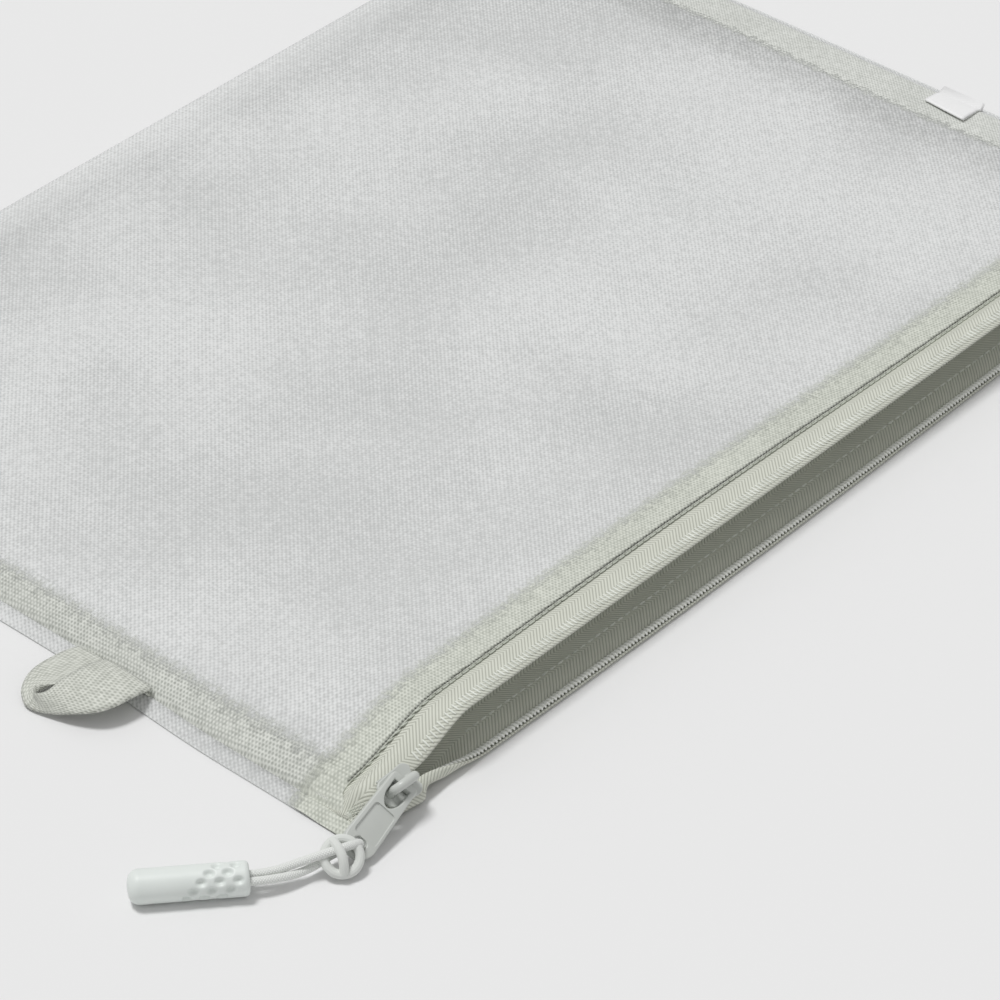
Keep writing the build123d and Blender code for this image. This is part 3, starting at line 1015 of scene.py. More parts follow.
    def spread(self, low: float, high: float, count: int) -> np.ndarray:
        """Places between two edges, closer together near both."""
        inset = np.array([0.0, 0.12, 0.4, 0.8, 1.3, 2.0, 2.6, 3.0, 3.3, 3.6, 3.9, 4.2, 4.5, 5.0, 5.8, 7.0])
        even = np.linspace(low + self.even_inset, high - self.even_inset, count)
        return np.concatenate([low + inset, even, (high - inset)[::-1]])

    def top_grid(self) -> tuple:
        """Points of the upper panel, from just behind the hem's fold to the back.

        Returns:
            The grid of points and where they lie in the flat cloth.
        """
        end = self.half_length + self.rim_out
        xs = self.spread(-end, end, int(2 * end / self.step))
        ys = self.spread(self.hem_edge + self.fold, self.back, int((self.back - self.hem_edge) / self.step))
        x, y = np.meshgrid(xs, ys, indexing="ij")
        grid = np.stack([x, y, self.height(x, y)], axis=2)
        along = self.flat_run(np.column_stack([xs, self.height(xs, np.zeros_like(xs))]), xs)
        across = self.flat_run(np.column_stack([ys, self.height(np.zeros_like(ys), ys)]), ys)
        return self.lean(grid), np.stack(np.meshgrid(along, across, indexing="ij"), axis=2)

    def bottom_grid(self) -> tuple:
        """Points of the lower panel, flat on the table and turned up at the back.

        Returns:
            The grid of points and where they lie in the flat cloth.
        """
        end = self.half_length + self.rim_out
        xs = self.spread(-end, end, 120)
        ys = self.spread(self.hem_edge, self.back, 90)
        x, y = np.meshgrid(xs, ys, indexing="ij")
        rise = (self.rim - self.roll_drop - self.layer_gap) * self.rolled(y)
        z = self.lower_level + rise * ease((end - np.abs(x)) / self.slope_run)
        return self.lean(np.stack([x, y, z], axis=2)), np.stack([x, y], axis=2)

    def band_grid(self, xs: np.ndarray, ys: np.ndarray, lift: float) -> tuple:
        """Points of a band that follows the upper panel.

        Args:
            xs: places along the zip.
            ys: places across the wallet.
            lift: how far it lies above the panel.

        Returns:
            The grid of points and where they lie in the flat cloth.
        """
        x, y = np.meshgrid(xs, ys, indexing="ij")
        grid = np.stack([x, y, self.height(x, y) + lift], axis=2)
        return self.lean(grid), np.stack([x, y], axis=2)

    def level_grid(self, xs: np.ndarray, ys: np.ndarray, level: float) -> tuple:
        """Points of a band that lies flat on the lower panel.

        Args:
            xs: places along the zip.
            ys: places across the wallet.
            level: its height.

        Returns:
            The grid of points and where they lie in the flat cloth.
        """
        x, y = np.meshgrid(xs, ys, indexing="ij")
        return np.stack([x, y, np.full_like(x, level)], axis=2), np.stack([x, y], axis=2)

    def stem_grid(self, profile: tuple, ys: np.ndarray) -> tuple:
        """Points of a tape's end that comes out of the side seam.

        Args:
            profile: its line from inside the seam to where it comes out, in (x, z).
            ys: places across the wallet.

        Returns:
            The grid of points and where they lie in the flat cloth.
        """
        line = smooth_line(np.array(profile), 14)
        run = run_along(line)
        grid = np.array([[(x, y, z) for y in ys] for x, z in line])
        return self.lean(grid), np.stack(np.meshgrid(run, ys, indexing="ij"), axis=2)

    def hem_line(self, x: np.ndarray | float) -> np.ndarray | float:
        """Where the hem's folded edge lies: straight, and drawn forward round the zip's ends."""
        return self.hem_edge - self.sleeve * ease((np.abs(x) - self.sleeve_start) / self.sleeve_run)

    def hem_grid(self) -> tuple:
        """Points of the upper hem: over the panel's front edge and back under it.

        Returns:
            The grid of points and where they lie in the flat cloth.
        """
        end = self.half_length + self.rim_out + self.hem_over
        xs = self.spread(-end, end, 300)
        rows = []
        flat = []
        for x in xs:
            front = float(self.hem_line(x))
            shares = np.concatenate([np.linspace(1, 0, 12), np.zeros(5)])
            ys = self.hem_edge + self.hem_width * shares
            ys[12:] = np.linspace(self.hem_edge, front, 6)[1:]
            turn = 2 * math.pi * x / self.pucker_pitch + self.pucker_slant * shares
            wave = np.sin(turn + self.pucker_drift * math.sin(x / self.drift_run))
            size = self.pucker_waves[0] + self.pucker_waves[1] * math.sin(x / self.wave_run)
            swell = self.pucker * (self.pucker_level + wave * size) * np.sin(math.pi * shares)
            zs = self.height(np.full_like(ys, x), ys) + self.band_lift + swell
            line = list(zip(ys, zs))
            for turn in np.radians((30, 60, 90, 120, 150, 180)):
                forward = self.fold * math.sin(turn)
                down = self.fold * (1 - math.cos(turn))
                line.append((ys[-1] - forward, zs[-1] - down))
            line.append((front + self.turn_under, zs[-1] - 2 * self.fold))
            line = np.array(line)
            run = run_along(line)
            rows.append(np.column_stack([np.full(len(line), x), line]))
            flat.append(np.column_stack([np.full(len(line), x), -run]))
        return self.lean(np.array(rows)), np.array(flat)

    def build(self, finishes: Finishes) -> None:
        """Makes the panels, the hems and the seam allowances."""
        top = open_cloth("top_mesh_panel", *self.top_grid())
        settle(top, Body.WALLET, finishes.top_mesh, ("top_panel",), True)
        bottom = open_cloth("bottom_mesh_panel", *self.bottom_grid())
        settle(bottom, Body.WALLET, finishes.bottom_mesh, ("bottom_panel",))
        hem = open_cloth("upper_hem_band", *self.hem_grid())
        settle(hem, Body.WALLET, finishes.band, ("upper_zip_hem",), True)
        end = self.half_length - self.lower_hem_inset
        ys = np.linspace(self.hem_edge, self.hem_edge + self.hem_width, 8)
        low, flat = self.level_grid(np.linspace(-end, end, 150), ys, self.lower_hem_level)
        hem = thick_cloth("lower_hem_band", low, flat, self.band_thickness)
        settle(hem, Body.WALLET, finishes.lower_band, ("lower_zip_hem",))
        self.build_allowances(finishes)

    def build_allowances(self, finishes: Finishes) -> None:
        """Makes the seam allowances of the three closed edges."""
        outer = self.half_length - self.seam_inset
        label_outer = self.half_length - self.label_inset
        front = self.hem_edge + self.band_front
        rear = self.back - self.band_rear
        ys = np.linspace(front, rear, 96)
        sides = (
            (-1, "loop_side", outer, self.band_width, finishes.loop_band),
            (1, "label_side", label_outer, self.label_band_width, finishes.label_band),
        )
        for side, name, edge, width, finish in sides:
            xs = np.sort(side * np.linspace(edge - width, edge, 14))
            band = open_cloth(f"{name}_band", *self.band_grid(xs, ys, self.band_lift))
            settle(band, Body.WALLET, finish, (f"{name}_allowance",), True)
            low, flat = self.level_grid(xs, ys, self.below_level)
            below = thick_cloth(f"{name}_band_below", self.lean(low), flat, self.band_thickness)
            settle(below, Body.WALLET, finish)
        xs = np.linspace(-outer + self.band_width, outer - self.label_band_width, 130)
        ys = np.linspace(rear - self.band_width, rear, 10)
        # The back band wears the lighter copy of the mesh, painted light against the shade of the layers.
        band = open_cloth("back_band", *self.band_grid(xs, ys, -self.allowance_gap))
        settle(band, Body.WALLET, finishes.back_mesh_painted_light, ("back_allowance",), True)


@dataclass
class Zip:
    """Two tapes with their coils: closed between slider and corner, parted along the mouth."""

    pouch: Pouch
    chain_line: float = -120.6
    chain_height: float = 5.5
    chain_end_drop: float = 1.2
    chain_flat_end: float = 161.4
    chain_tilt: float = 40.0
    zip_end: float = 164.5
    tape_end: float = 165.4
    closed_offset: float = 1.3
    parting: float = 0.85
    part_start: float = 157.1
    part_run: float = 5.5
    mouth_end: float = 149.6
    open_run: float = 19.0
    drop_run: float = 22.0
    upper_lip: tuple = (-119.6, 14.2)
    lower_lip: tuple = (-122.6, 1.3)
    tape_thickness: float = 0.5
    pitch: float = 1.2
    wire: float = 0.33
    coil_width: float = 0.62
    coil_height: float = 0.42
    seam_place: tuple = (-113.0, 1.7)
    chain_drop_run: float = 3.1
    tuck_start: float = 160.2
    tuck_run: float = 5.0
    tuck_pull: float = 0.5
    tuck_keep: float = 0.12
    part_rate: float = 3.0
    upper_tilt: float = 5.0
    lower_tilt: float = 180.0
    bow: float = 0.9
    bow_middle: float = 40.0
    bow_run: float = 58.0
    edge_reach: float = 1.15
    open_edge_reach: float = 1.75
    edge_rises: tuple = (0.9, 0.45)
    crest: tuple = (-0.55, 1.08)
    root: tuple = (1.3, 1.02)
    held_start: float = 147.5
    held_run: float = 3.0
    upper_turn: float = 3.9
    lower_turns: tuple = (1.2, 3.1, 3.0)
    upper_layers: float = 1.0
    lower_layers: float = 1.27
    hem_gap: float = 0.8
    under_hem: float = 6.5
    fold_shifts: tuple = (1.0, -0.1)
    fold_drop: float = 1.3
    fold_line: float = -117.5
    fold_back: float = 1.5
    fold_sink: float = 0.35
    dense_end: float = 120.0
    even_end: float = 117.0
    coil_inset: float = 1.0
    core_radius: float = 0.44
    hem_row: tuple = (161.0, 2.3)
    hem_stitch: tuple = (2.2, 0.5, 0.5)
    hem_stitch_sink: float = 0.5
    hem_stitch_front: float = 0.34
    lower_row: tuple = (126.0, 2.7)
    lower_row_place: tuple = (-116.0, 1.62)
    lower_stitch: tuple = (2.0, 0.62, 0.36)
    sewing_row: tuple = (147.0, 1.2)
    sewing_place: float = 2.1
    sewing_lift: float = 0.03
    sewing_stitch: tuple = (2.5, 0.62, 0.34)
    tack_middle: float = 163.0
    tack_half: float = 1.0
    tack_lift: float = 1.2
    tack_stitch: tuple = (4.2, 0.42, 0.4)

    def chain_middle(self, x: float) -> tuple:
        """Middle of the closed chain."""
        past = float(np.clip((abs(x) - self.chain_flat_end) / self.chain_drop_run, 0, 1))
        drop = self.chain_end_drop * past
        return self.chain_line, self.chain_height - drop

    def axes(self, tilt: float) -> tuple:
        """Directions in (y, z): across the chain, and out of its outer face."""
        turn = math.radians(tilt)
        return np.array([math.cos(turn), math.sin(turn)]), np.array([-math.sin(turn), math.cos(turn)])

    def opened(self, x: float, lip: Lip = Lip.UPPER) -> float:
        """How far a lip has left the chain at a place along the zip."""
        run = self.open_run if lip is Lip.UPPER else self.drop_run
        return float(ease((self.mouth_end - abs(x)) / run))

    def tuck(self, points: np.ndarray) -> np.ndarray:
        """Draws what reaches into the corners towards the side seam.

        Args:
            points: points of tapes, coils or thread, with x, y and z last.

        Returns:
            The same points, with those near the corners moved.
        """
        moved = np.array(points, float)
        share = ease((np.abs(moved[..., 0]) - self.tuck_start) / self.tuck_run)
        line, level = self.seam_place
        across = mix(moved[..., 1], line, self.tuck_pull)
        height = level + self.tuck_keep * (moved[..., 2] - level)
        moved[..., 1] = mix(moved[..., 1], across, share)
        moved[..., 2] = mix(moved[..., 2], height, share)
        return self.pouch.lean(moved)

    def coil_place(self, x: float, lip: Lip) -> tuple:
        """Middle and tilt of a coil.

        Args:
            x: place along the zip.
            lip: which of the two.

        Returns:
            The middle in (y, z) and the tilt in degrees.
        """
        opened = self.opened(x, lip)
        parted = float(np.clip((self.part_start - abs(x)) / self.part_run, 0, 1)) if x < 0 else 0.0
        parted = max(parted, float(ease(opened * self.part_rate)))
        across, _ = self.axes(self.chain_tilt)
        offset = lip.value * (self.closed_offset + self.parting * parted)
        closed = np.array(self.chain_middle(x)) + offset * across
        if lip is Lip.UPPER:
            rest = np.array(self.upper_lip)
            tilt = self.upper_tilt
        else:
            bow = self.bow * math.sin((self.bow_middle - x) / self.bow_run)
            rest = np.array([self.lower_lip[0] - bow, self.lower_lip[1]])
            tilt = self.lower_tilt
        return mix(closed, rest, opened), float(mix(self.chain_tilt, tilt, opened))

    def tape_line(self, x: float, lip: Lip) -> np.ndarray:
        """Middle of a tape across the zip, from its free edge over the coil to under the hem.

        Args:
            x: place along the zip.
            lip: which of the two.

        Returns:
            Corner points in (y, z).
        """
        middle, tilt = self.coil_place(x, lip)
        across, out = self.axes(tilt)
        way = lip.value * across
        opened = self.opened(x, lip)
        held = float(ease((abs(x) - self.held_start) / self.held_run))
        if lip is Lip.UPPER:
            open_reach = self.open_edge_reach
            turn = self.upper_turn
            level = self.pouch.hem_height(x) - self.upper_layers
        else:
            near, beside, free = self.lower_turns
            open_reach = self.edge_reach
            turn = mix(mix(near, beside, held), free, opened)
            level = self.lower_layers
        reach = mix(self.edge_reach, open_reach, opened)
        edge = middle - reach * way + mix(*self.edge_rises, opened) * out
        crest = middle + self.crest[0] * way + self.crest[1] * out
        root = middle + self.root[0] * way + self.root[1] * out
        turned = middle + turn * way
        at_hem = np.array([self.pouch.hem_edge - self.hem_gap, level])
        thirds = [mix(turned, at_hem, 1 / 3), mix(turned, at_hem, 2 / 3)]
        if lip is Lip.LOWER:
            first = turned + (mix(*self.fold_shifts, held), -self.fold_drop)
            line = mix(self.fold_line, turned[0] + self.fold_back, held)
            second = np.array([line, level - self.fold_sink])
            thirds = [mix(first, thirds[0], opened), mix(second, thirds[1], opened)]
        under = (self.pouch.hem_edge + self.under_hem, level)
        return np.array([edge, crest, root, turned, *thirds, at_hem, under])

    def stations(self) -> np.ndarray:
        """Places along the zip, closer together where the lips part."""
        ends = np.linspace(self.tape_end, self.dense_end, 48)
        return np.concatenate([-ends, np.linspace(-self.even_end, self.even_end, 70), ends[::-1]])

    def build_tape(self, lip: Lip, finishes: Finishes) -> None:
        """Makes one tape."""
        name = lip.name.lower()
        lines = []
        for x in self.stations():
            line = smooth_line(self.tape_line(x, lip), 30)
            lines.append(np.column_stack([np.full(len(line), x), line]))
        grid = np.array(lines)
        across = np.array([run_along(line[:, 1:]) for line in grid])
        cloth_at = np.stack([grid[:, :, 0], across], axis=2)
        tape = thick_cloth(f"{name}_tape", self.tuck(grid), cloth_at, self.tape_thickness)
        settle(tape, Body.WALLET, finishes.tape, (f"{name}_zip_tape",), True)

    def build_coil(self, lip: Lip, finishes: Finishes) -> None:
        """Makes one coil as a continuous turn of wire along its tape's edge, round a thin cord."""
        name = lip.name.lower()
        steps = 14
        sides = 6
        end = self.zip_end - self.coil_inset
        count = int(2 * end / self.pitch) * steps
        phase = 0.0 if lip is Lip.UPPER else math.pi
        rings = []
        middles = []
        for i in range(count + 1):
            x = -end + i * self.pitch / steps
            turn = 2 * math.pi * i / steps + phase
            middle, tilt = self.coil_place(x, lip)
            across, out = self.axes(tilt)
            wide = math.cos(turn) * across
            tall = math.sin(turn) * out
            centre = middle + self.coil_width * wide + self.coil_height * tall
            outward = wide * self.coil_height + tall * self.coil_width
            outward = outward / np.linalg.norm(outward)
            for s in range(sides):
                a = 2 * math.pi * s / sides
                side = centre + self.wire * math.cos(a) * outward
                rings.append((x + self.wire * math.sin(a), side[0], side[1]))
            if i % steps == 0:
                middles.append((x, middle[0], middle[1]))
        faces = ring_faces(count + 1, sides)
        faces.append(tuple(range(sides))[::-1])
        faces.append(tuple(count * sides + s for s in range(sides)))
        coil = add_piece(f"{name}_coil_turns", self.tuck(np.array(rings)), faces)
        settle(coil, Body.WALLET, finishes.coil, (f"{name}_coil",), True)
        cord = tube(f"{name}_coil_cord", self.tuck(np.array(middles)), self.core_radius, 8)
        settle(cord, Body.WALLET, finishes.thread, (f"{name}_coil_core",), True)

    def row(self, end: float, pitch: float) -> np.ndarray:
        """Places of a row of stitches, from one end to the other."""
        return np.arange(-end, end + 0.1, pitch)

    def straight_row(self, name: str, places: np.ndarray, size: tuple) -> bpy.types.Object:
        """Makes a row of stitches that runs along the zip."""
        along = np.tile((1.0, 0.0, 0.0), (len(places), 1))
        up = np.tile((0.0, 0.0, 1.0), (len(places), 1))
        return stitches(name, places, along, up, size)

    def build_thread(self, finishes: Finishes) -> None:
        """Makes the stitch rows, the sewing of the upper coil and the bar tacks."""
        xs = self.row(*self.hem_row)
        ys = np.full_like(xs, self.pouch.hem_edge)
        zs = self.pouch.height(xs, ys) + self.pouch.band_lift - self.hem_stitch_sink
        places = np.column_stack([xs, ys - self.hem_stitch_front, zs])
        row = self.straight_row("upper_hem_stitches", places, self.hem_stitch)
        settle(row, Body.WALLET, finishes.hem_thread, ("upper_zip_stitching",), True)
        xs = self.row(*self.lower_row)
        line, level = self.lower_row_place
        places = np.column_stack([xs, np.full_like(xs, line), np.full_like(xs, level)])
        row = self.straight_row("lower_tape_stitches", places, self.lower_stitch)
        settle(row, Body.WALLET, finishes.thread, ("lower_zip_stitching",), True)
        self.build_sewing(finishes)
        self.build_tacks(finishes)

    def build_sewing(self, finishes: Finishes) -> None:
        """Makes the stitches over the upper tape's edge that hold the coil."""
        middles = []
        ways = []
        ups = []
        for x in self.row(*self.sewing_row):
            line = smooth_line(self.tape_line(x, Lip.UPPER), 60)
            k = int(np.searchsorted(run_along(line), self.sewing_place))
            way = line[k + 1] - line[k - 1]
            way = way / np.linalg.norm(way)
            out = np.array([-way[1], way[0]])
            middles.append((x, *(line[k] + out * (self.tape_thickness / 2 + self.sewing_lift))))
            ways.append((0.0, *way))
            ups.append((0.0, *out))
        row = stitches("upper_coil_sewing", np.array(middles), ways, ups, self.sewing_stitch)
        settle(row, Body.WALLET, finishes.thread, (), True)

    def build_tacks(self, finishes: Finishes) -> None:
        """Makes the bars of thread that close both ends of the chain."""
        across, out = self.axes(self.chain_tilt)
        for side, name in ((-1, "slider_end"), (1, "far_end")):
            middles = []
            for offset in np.linspace(-self.tack_half, self.tack_half, 6):
                x = side * (self.tack_middle + offset)
                for face in (-1, 1):
                    place = np.array(self.chain_middle(x)) + out * (face * self.tack_lift)
                    middles.append((x, *place))
            ways = np.tile((0.0, *across), (len(middles), 1))
            ups = np.tile((0.0, *out), (len(middles), 1))
            tack = stitches(f"{name}_tack", self.tuck(np.array(middles)), ways, ups, self.tack_stitch)
            settle(tack, Body.WALLET, finishes.hem_thread, (f"{name}_bar_tack",), True)

    def build(self, finishes: Finishes) -> None:
        """Makes tapes, coils and thread."""
        for lip in Lip:
            self.build_tape(lip, finishes)
            self.build_coil(lip, finishes)
        self.build_thread(finishes)


@dataclass
class Slider:
    """Slider body, the bail on it and the tab that hangs from the bail."""

    middle: tuple = (-155.6, -120.6, 5.5)
    across: tuple = (0.0, 0.766044, 0.642788)
    out: tuple = (0.0, -0.642788, 0.766044)
    length: float = 11.0
    width: float = 8.2
    channel_half: float = 1.4
    plate: float = 0.95
    flange: float = 0.7
    slot_half: float = 0.55
    bail_wire: float = 2.2
    bail_half_span: float = 3.2
    bail_level: float = 6.3
    pivot: tuple = (-155.6, -123.171, 8.564)
    tab_way: tuple = (-0.960451, -0.157229, -0.229809)
    tab_side: tuple = (0.26892, -0.737825, -0.619109)
    tab_up: tuple = (-0.072217, -0.656424, 0.750927)
    tab_thickness: float = 2.3
    tab_half: float = 3.6
    tab_end_half: float = 4.1
    tab_length: float = 22.1
    eye_length: float = 6.6
    end_eye: float = 18.8
    end_eye_radius: float = 1.7
    front_corner: float = 2.4
    rear_corner: float = 2.2
    rear_inset: float = 0.55
    notch: tuple = (0.75, 0.95, 0.9)
    plate_bevel: float = 0.3
    flange_inset: float = 0.25
    flange_overlap: float = 0.3
    flange_short: float = 3.2
    flange_round: float = 0.3
    flange_bevel: float = 0.12
    post: tuple = (2.3, 1.5, 0.6)
    post_inset: float = 0.2
    post_overlap: float = 0.4
    post_bevel: float = 0.1
    bail_sink: float = 0.25
    bail_corner: float = 2.0
    foot_rises: tuple = (0.0, 0.5, 1.1)
    foot_flares: tuple = (0.45, 0.15)
    tab_bar: float = 0.9
    tab_bevel: float = 0.38
    eye_wall: float = 1.3
    eye_taper: float = 0.18
    panel: tuple = (8.0, 17.2)
    panel_walls: tuple = (0.75, 0.45)
    panel_corner: float = 1.0
    panel_flare: float = 0.25
    panel_depth: float = 0.45
    cutter_height: float = 1.5
    cutter_bevel: float = 0.22

    def place(self) -> Matrix:
        """The slider's own place on the chain."""
        return place_on(self.middle, (1, 0, 0), self.across, self.out)

    def build_body(self, finishes: Finishes) -> None:
        """Makes the two plates, their turned-in flanges and the post between them."""
        half = self.length / 2
        wide = self.width / 2
        narrow = wide - self.rear_inset
        front = self.front_corner
        rear = self.rear_corner
        edge, middle, side = self.notch
        outline = arc((half - front, wide - front), front, 90, 20, 6)
        outline += [(half - edge, side), (half - middle, 0.0), (half - edge, -side)]
        outline += arc((half - front, -wide + front), front, -20, -90, 6)
        outline += arc((-half + rear, -narrow + rear), rear, 270, 180, 6)
        outline += arc((-half + rear, narrow - rear), rear, 180, 90, 6)
        parts = []
        level = self.channel_half + self.plate / 2
        deep = self.channel_half - self.slot_half + self.flange_overlap
        aside = wide - self.flange / 2 - self.flange_inset
        bar = rounded_box(self.length - self.flange_short, self.flange, self.flange_round)
        place = self.place()
        for face in (-1, 1):
            lift = Matrix.Translation((0, 0, face * level * MM))
            parts.append(plate("slider_plate", [outline], self.plate, self.plate_bevel, place @ lift))
            for sign in (-1, 1):
                at = Matrix.Translation((0, sign * aside * MM, face * (self.slot_half + deep / 2) * MM))
                parts.append(plate("slider_flange", [bar], deep, self.flange_bevel, place @ at))
        at = Matrix.Translation(((half - self.post_inset - self.post[0] / 2) * MM, 0, 0))
        tall = 2 * self.channel_half + self.post_overlap
        parts.append(plate("slider_post", [rounded_box(*self.post)], tall, self.post_bevel, place @ at))
        body = join("slider_casting", parts)
        settle(body, Body.SLIDER, finishes.paint, ("slider_body",))

    def build_bail(self, finishes: Finishes) -> None:
        """Makes the bail, a thick arch that widens into its feet."""
        span = self.bail_half_span
        foot = self.channel_half + self.plate - self.bail_sink
        corner = self.bail_corner
        line = [(span, foot + rise) for rise in self.foot_rises]
        line += arc((span - corner, self.bail_level - corner), corner, 0, 90, 8)
        line += arc((-span + corner, self.bail_level - corner), corner, 90, 180, 8)
        line += [(-span, foot + rise) for rise in self.foot_rises[::-1]]
        place = self.place()
        path = [place @ (Vector((x, 0, z)) * MM) / MM for x, z in line]
        radii = np.full(len(path), self.bail_wire / 2)
        for k, flare in enumerate(self.foot_flares):
            radii[[k, -1 - k]] += flare
        bail = tube("slider_bridge", np.array(path), radii, 20)
        settle(bail, Body.SLIDER, finishes.paint, ("slider_bail",))

    def build_tab(self, finishes: Finishes) -> None:
        """Makes the tab: an eye for the bail, a sunk panel and an eye for the cord."""
        place = place_on(self.pivot, self.tab_way, self.tab_side, self.tab_up)
        bar = self.tab_bar
        half = self.tab_half
        sink = Matrix.Translation((0, 0, (bar - self.tab_thickness / 2) * MM))
        outline = arc((0.0, half - bar), bar, 90, 180, 6)
        outline += arc((0.0, -half + bar), bar, 180, 270, 6)
        outline += arc((self.tab_length - self.tab_end_half, 0.0), self.tab_end_half, -90, 90, 24)
        eye_half = half - self.eye_wall
        eye = [(bar, eye_half), (bar, -eye_half)]
        reach = self.eye_length / 2
        for turn in np.radians(np.linspace(-90, 90, 18)):
            narrow = 1 - self.eye_taper * math.cos(turn)
            eye.append((bar + reach + reach * math.cos(turn), eye_half * math.sin(turn) * narrow))
        end_eye = arc((self.end_eye, 0.0), self.end_eye_radius, 0, 345, 24)
        outlines = [outline, eye, end_eye]
        tab = plate("tab_casting", outlines, self.tab_thickness, self.tab_bevel, place @ sink)
        low, high = self.panel
        left = -half + self.panel_walls[0]
        right = half - self.panel_walls[1]
        corner = self.panel_corner
        flare = self.panel_flare
        sunk = arc((high - corner, right - corner + flare), corner, 0, 90, 6)
        sunk += arc((low + corner, right - corner), corner, 90, 180, 6)
        sunk += arc((low + corner, left + corner), corner, 180, 270, 6)
        sunk += arc((high - corner, left + corner - flare), corner, 270, 360, 6)
        lift = Matrix.Translation((0, 0, (bar - self.panel_depth + self.cutter_height / 2) * MM))
        cutter = plate("recess", [sunk], self.cutter_height, self.cutter_bevel, place @ lift)
        tab = cut_out(tab, cutter)
        settle(tab, Body.TAB, finishes.paint, ("pull_tab",))

    def build(self, finishes: Finishes) -> None:
        """Makes body, bail and tab."""
        self.build_body(finishes)
        self.build_bail(finishes)
        self.build_tab(finishes)


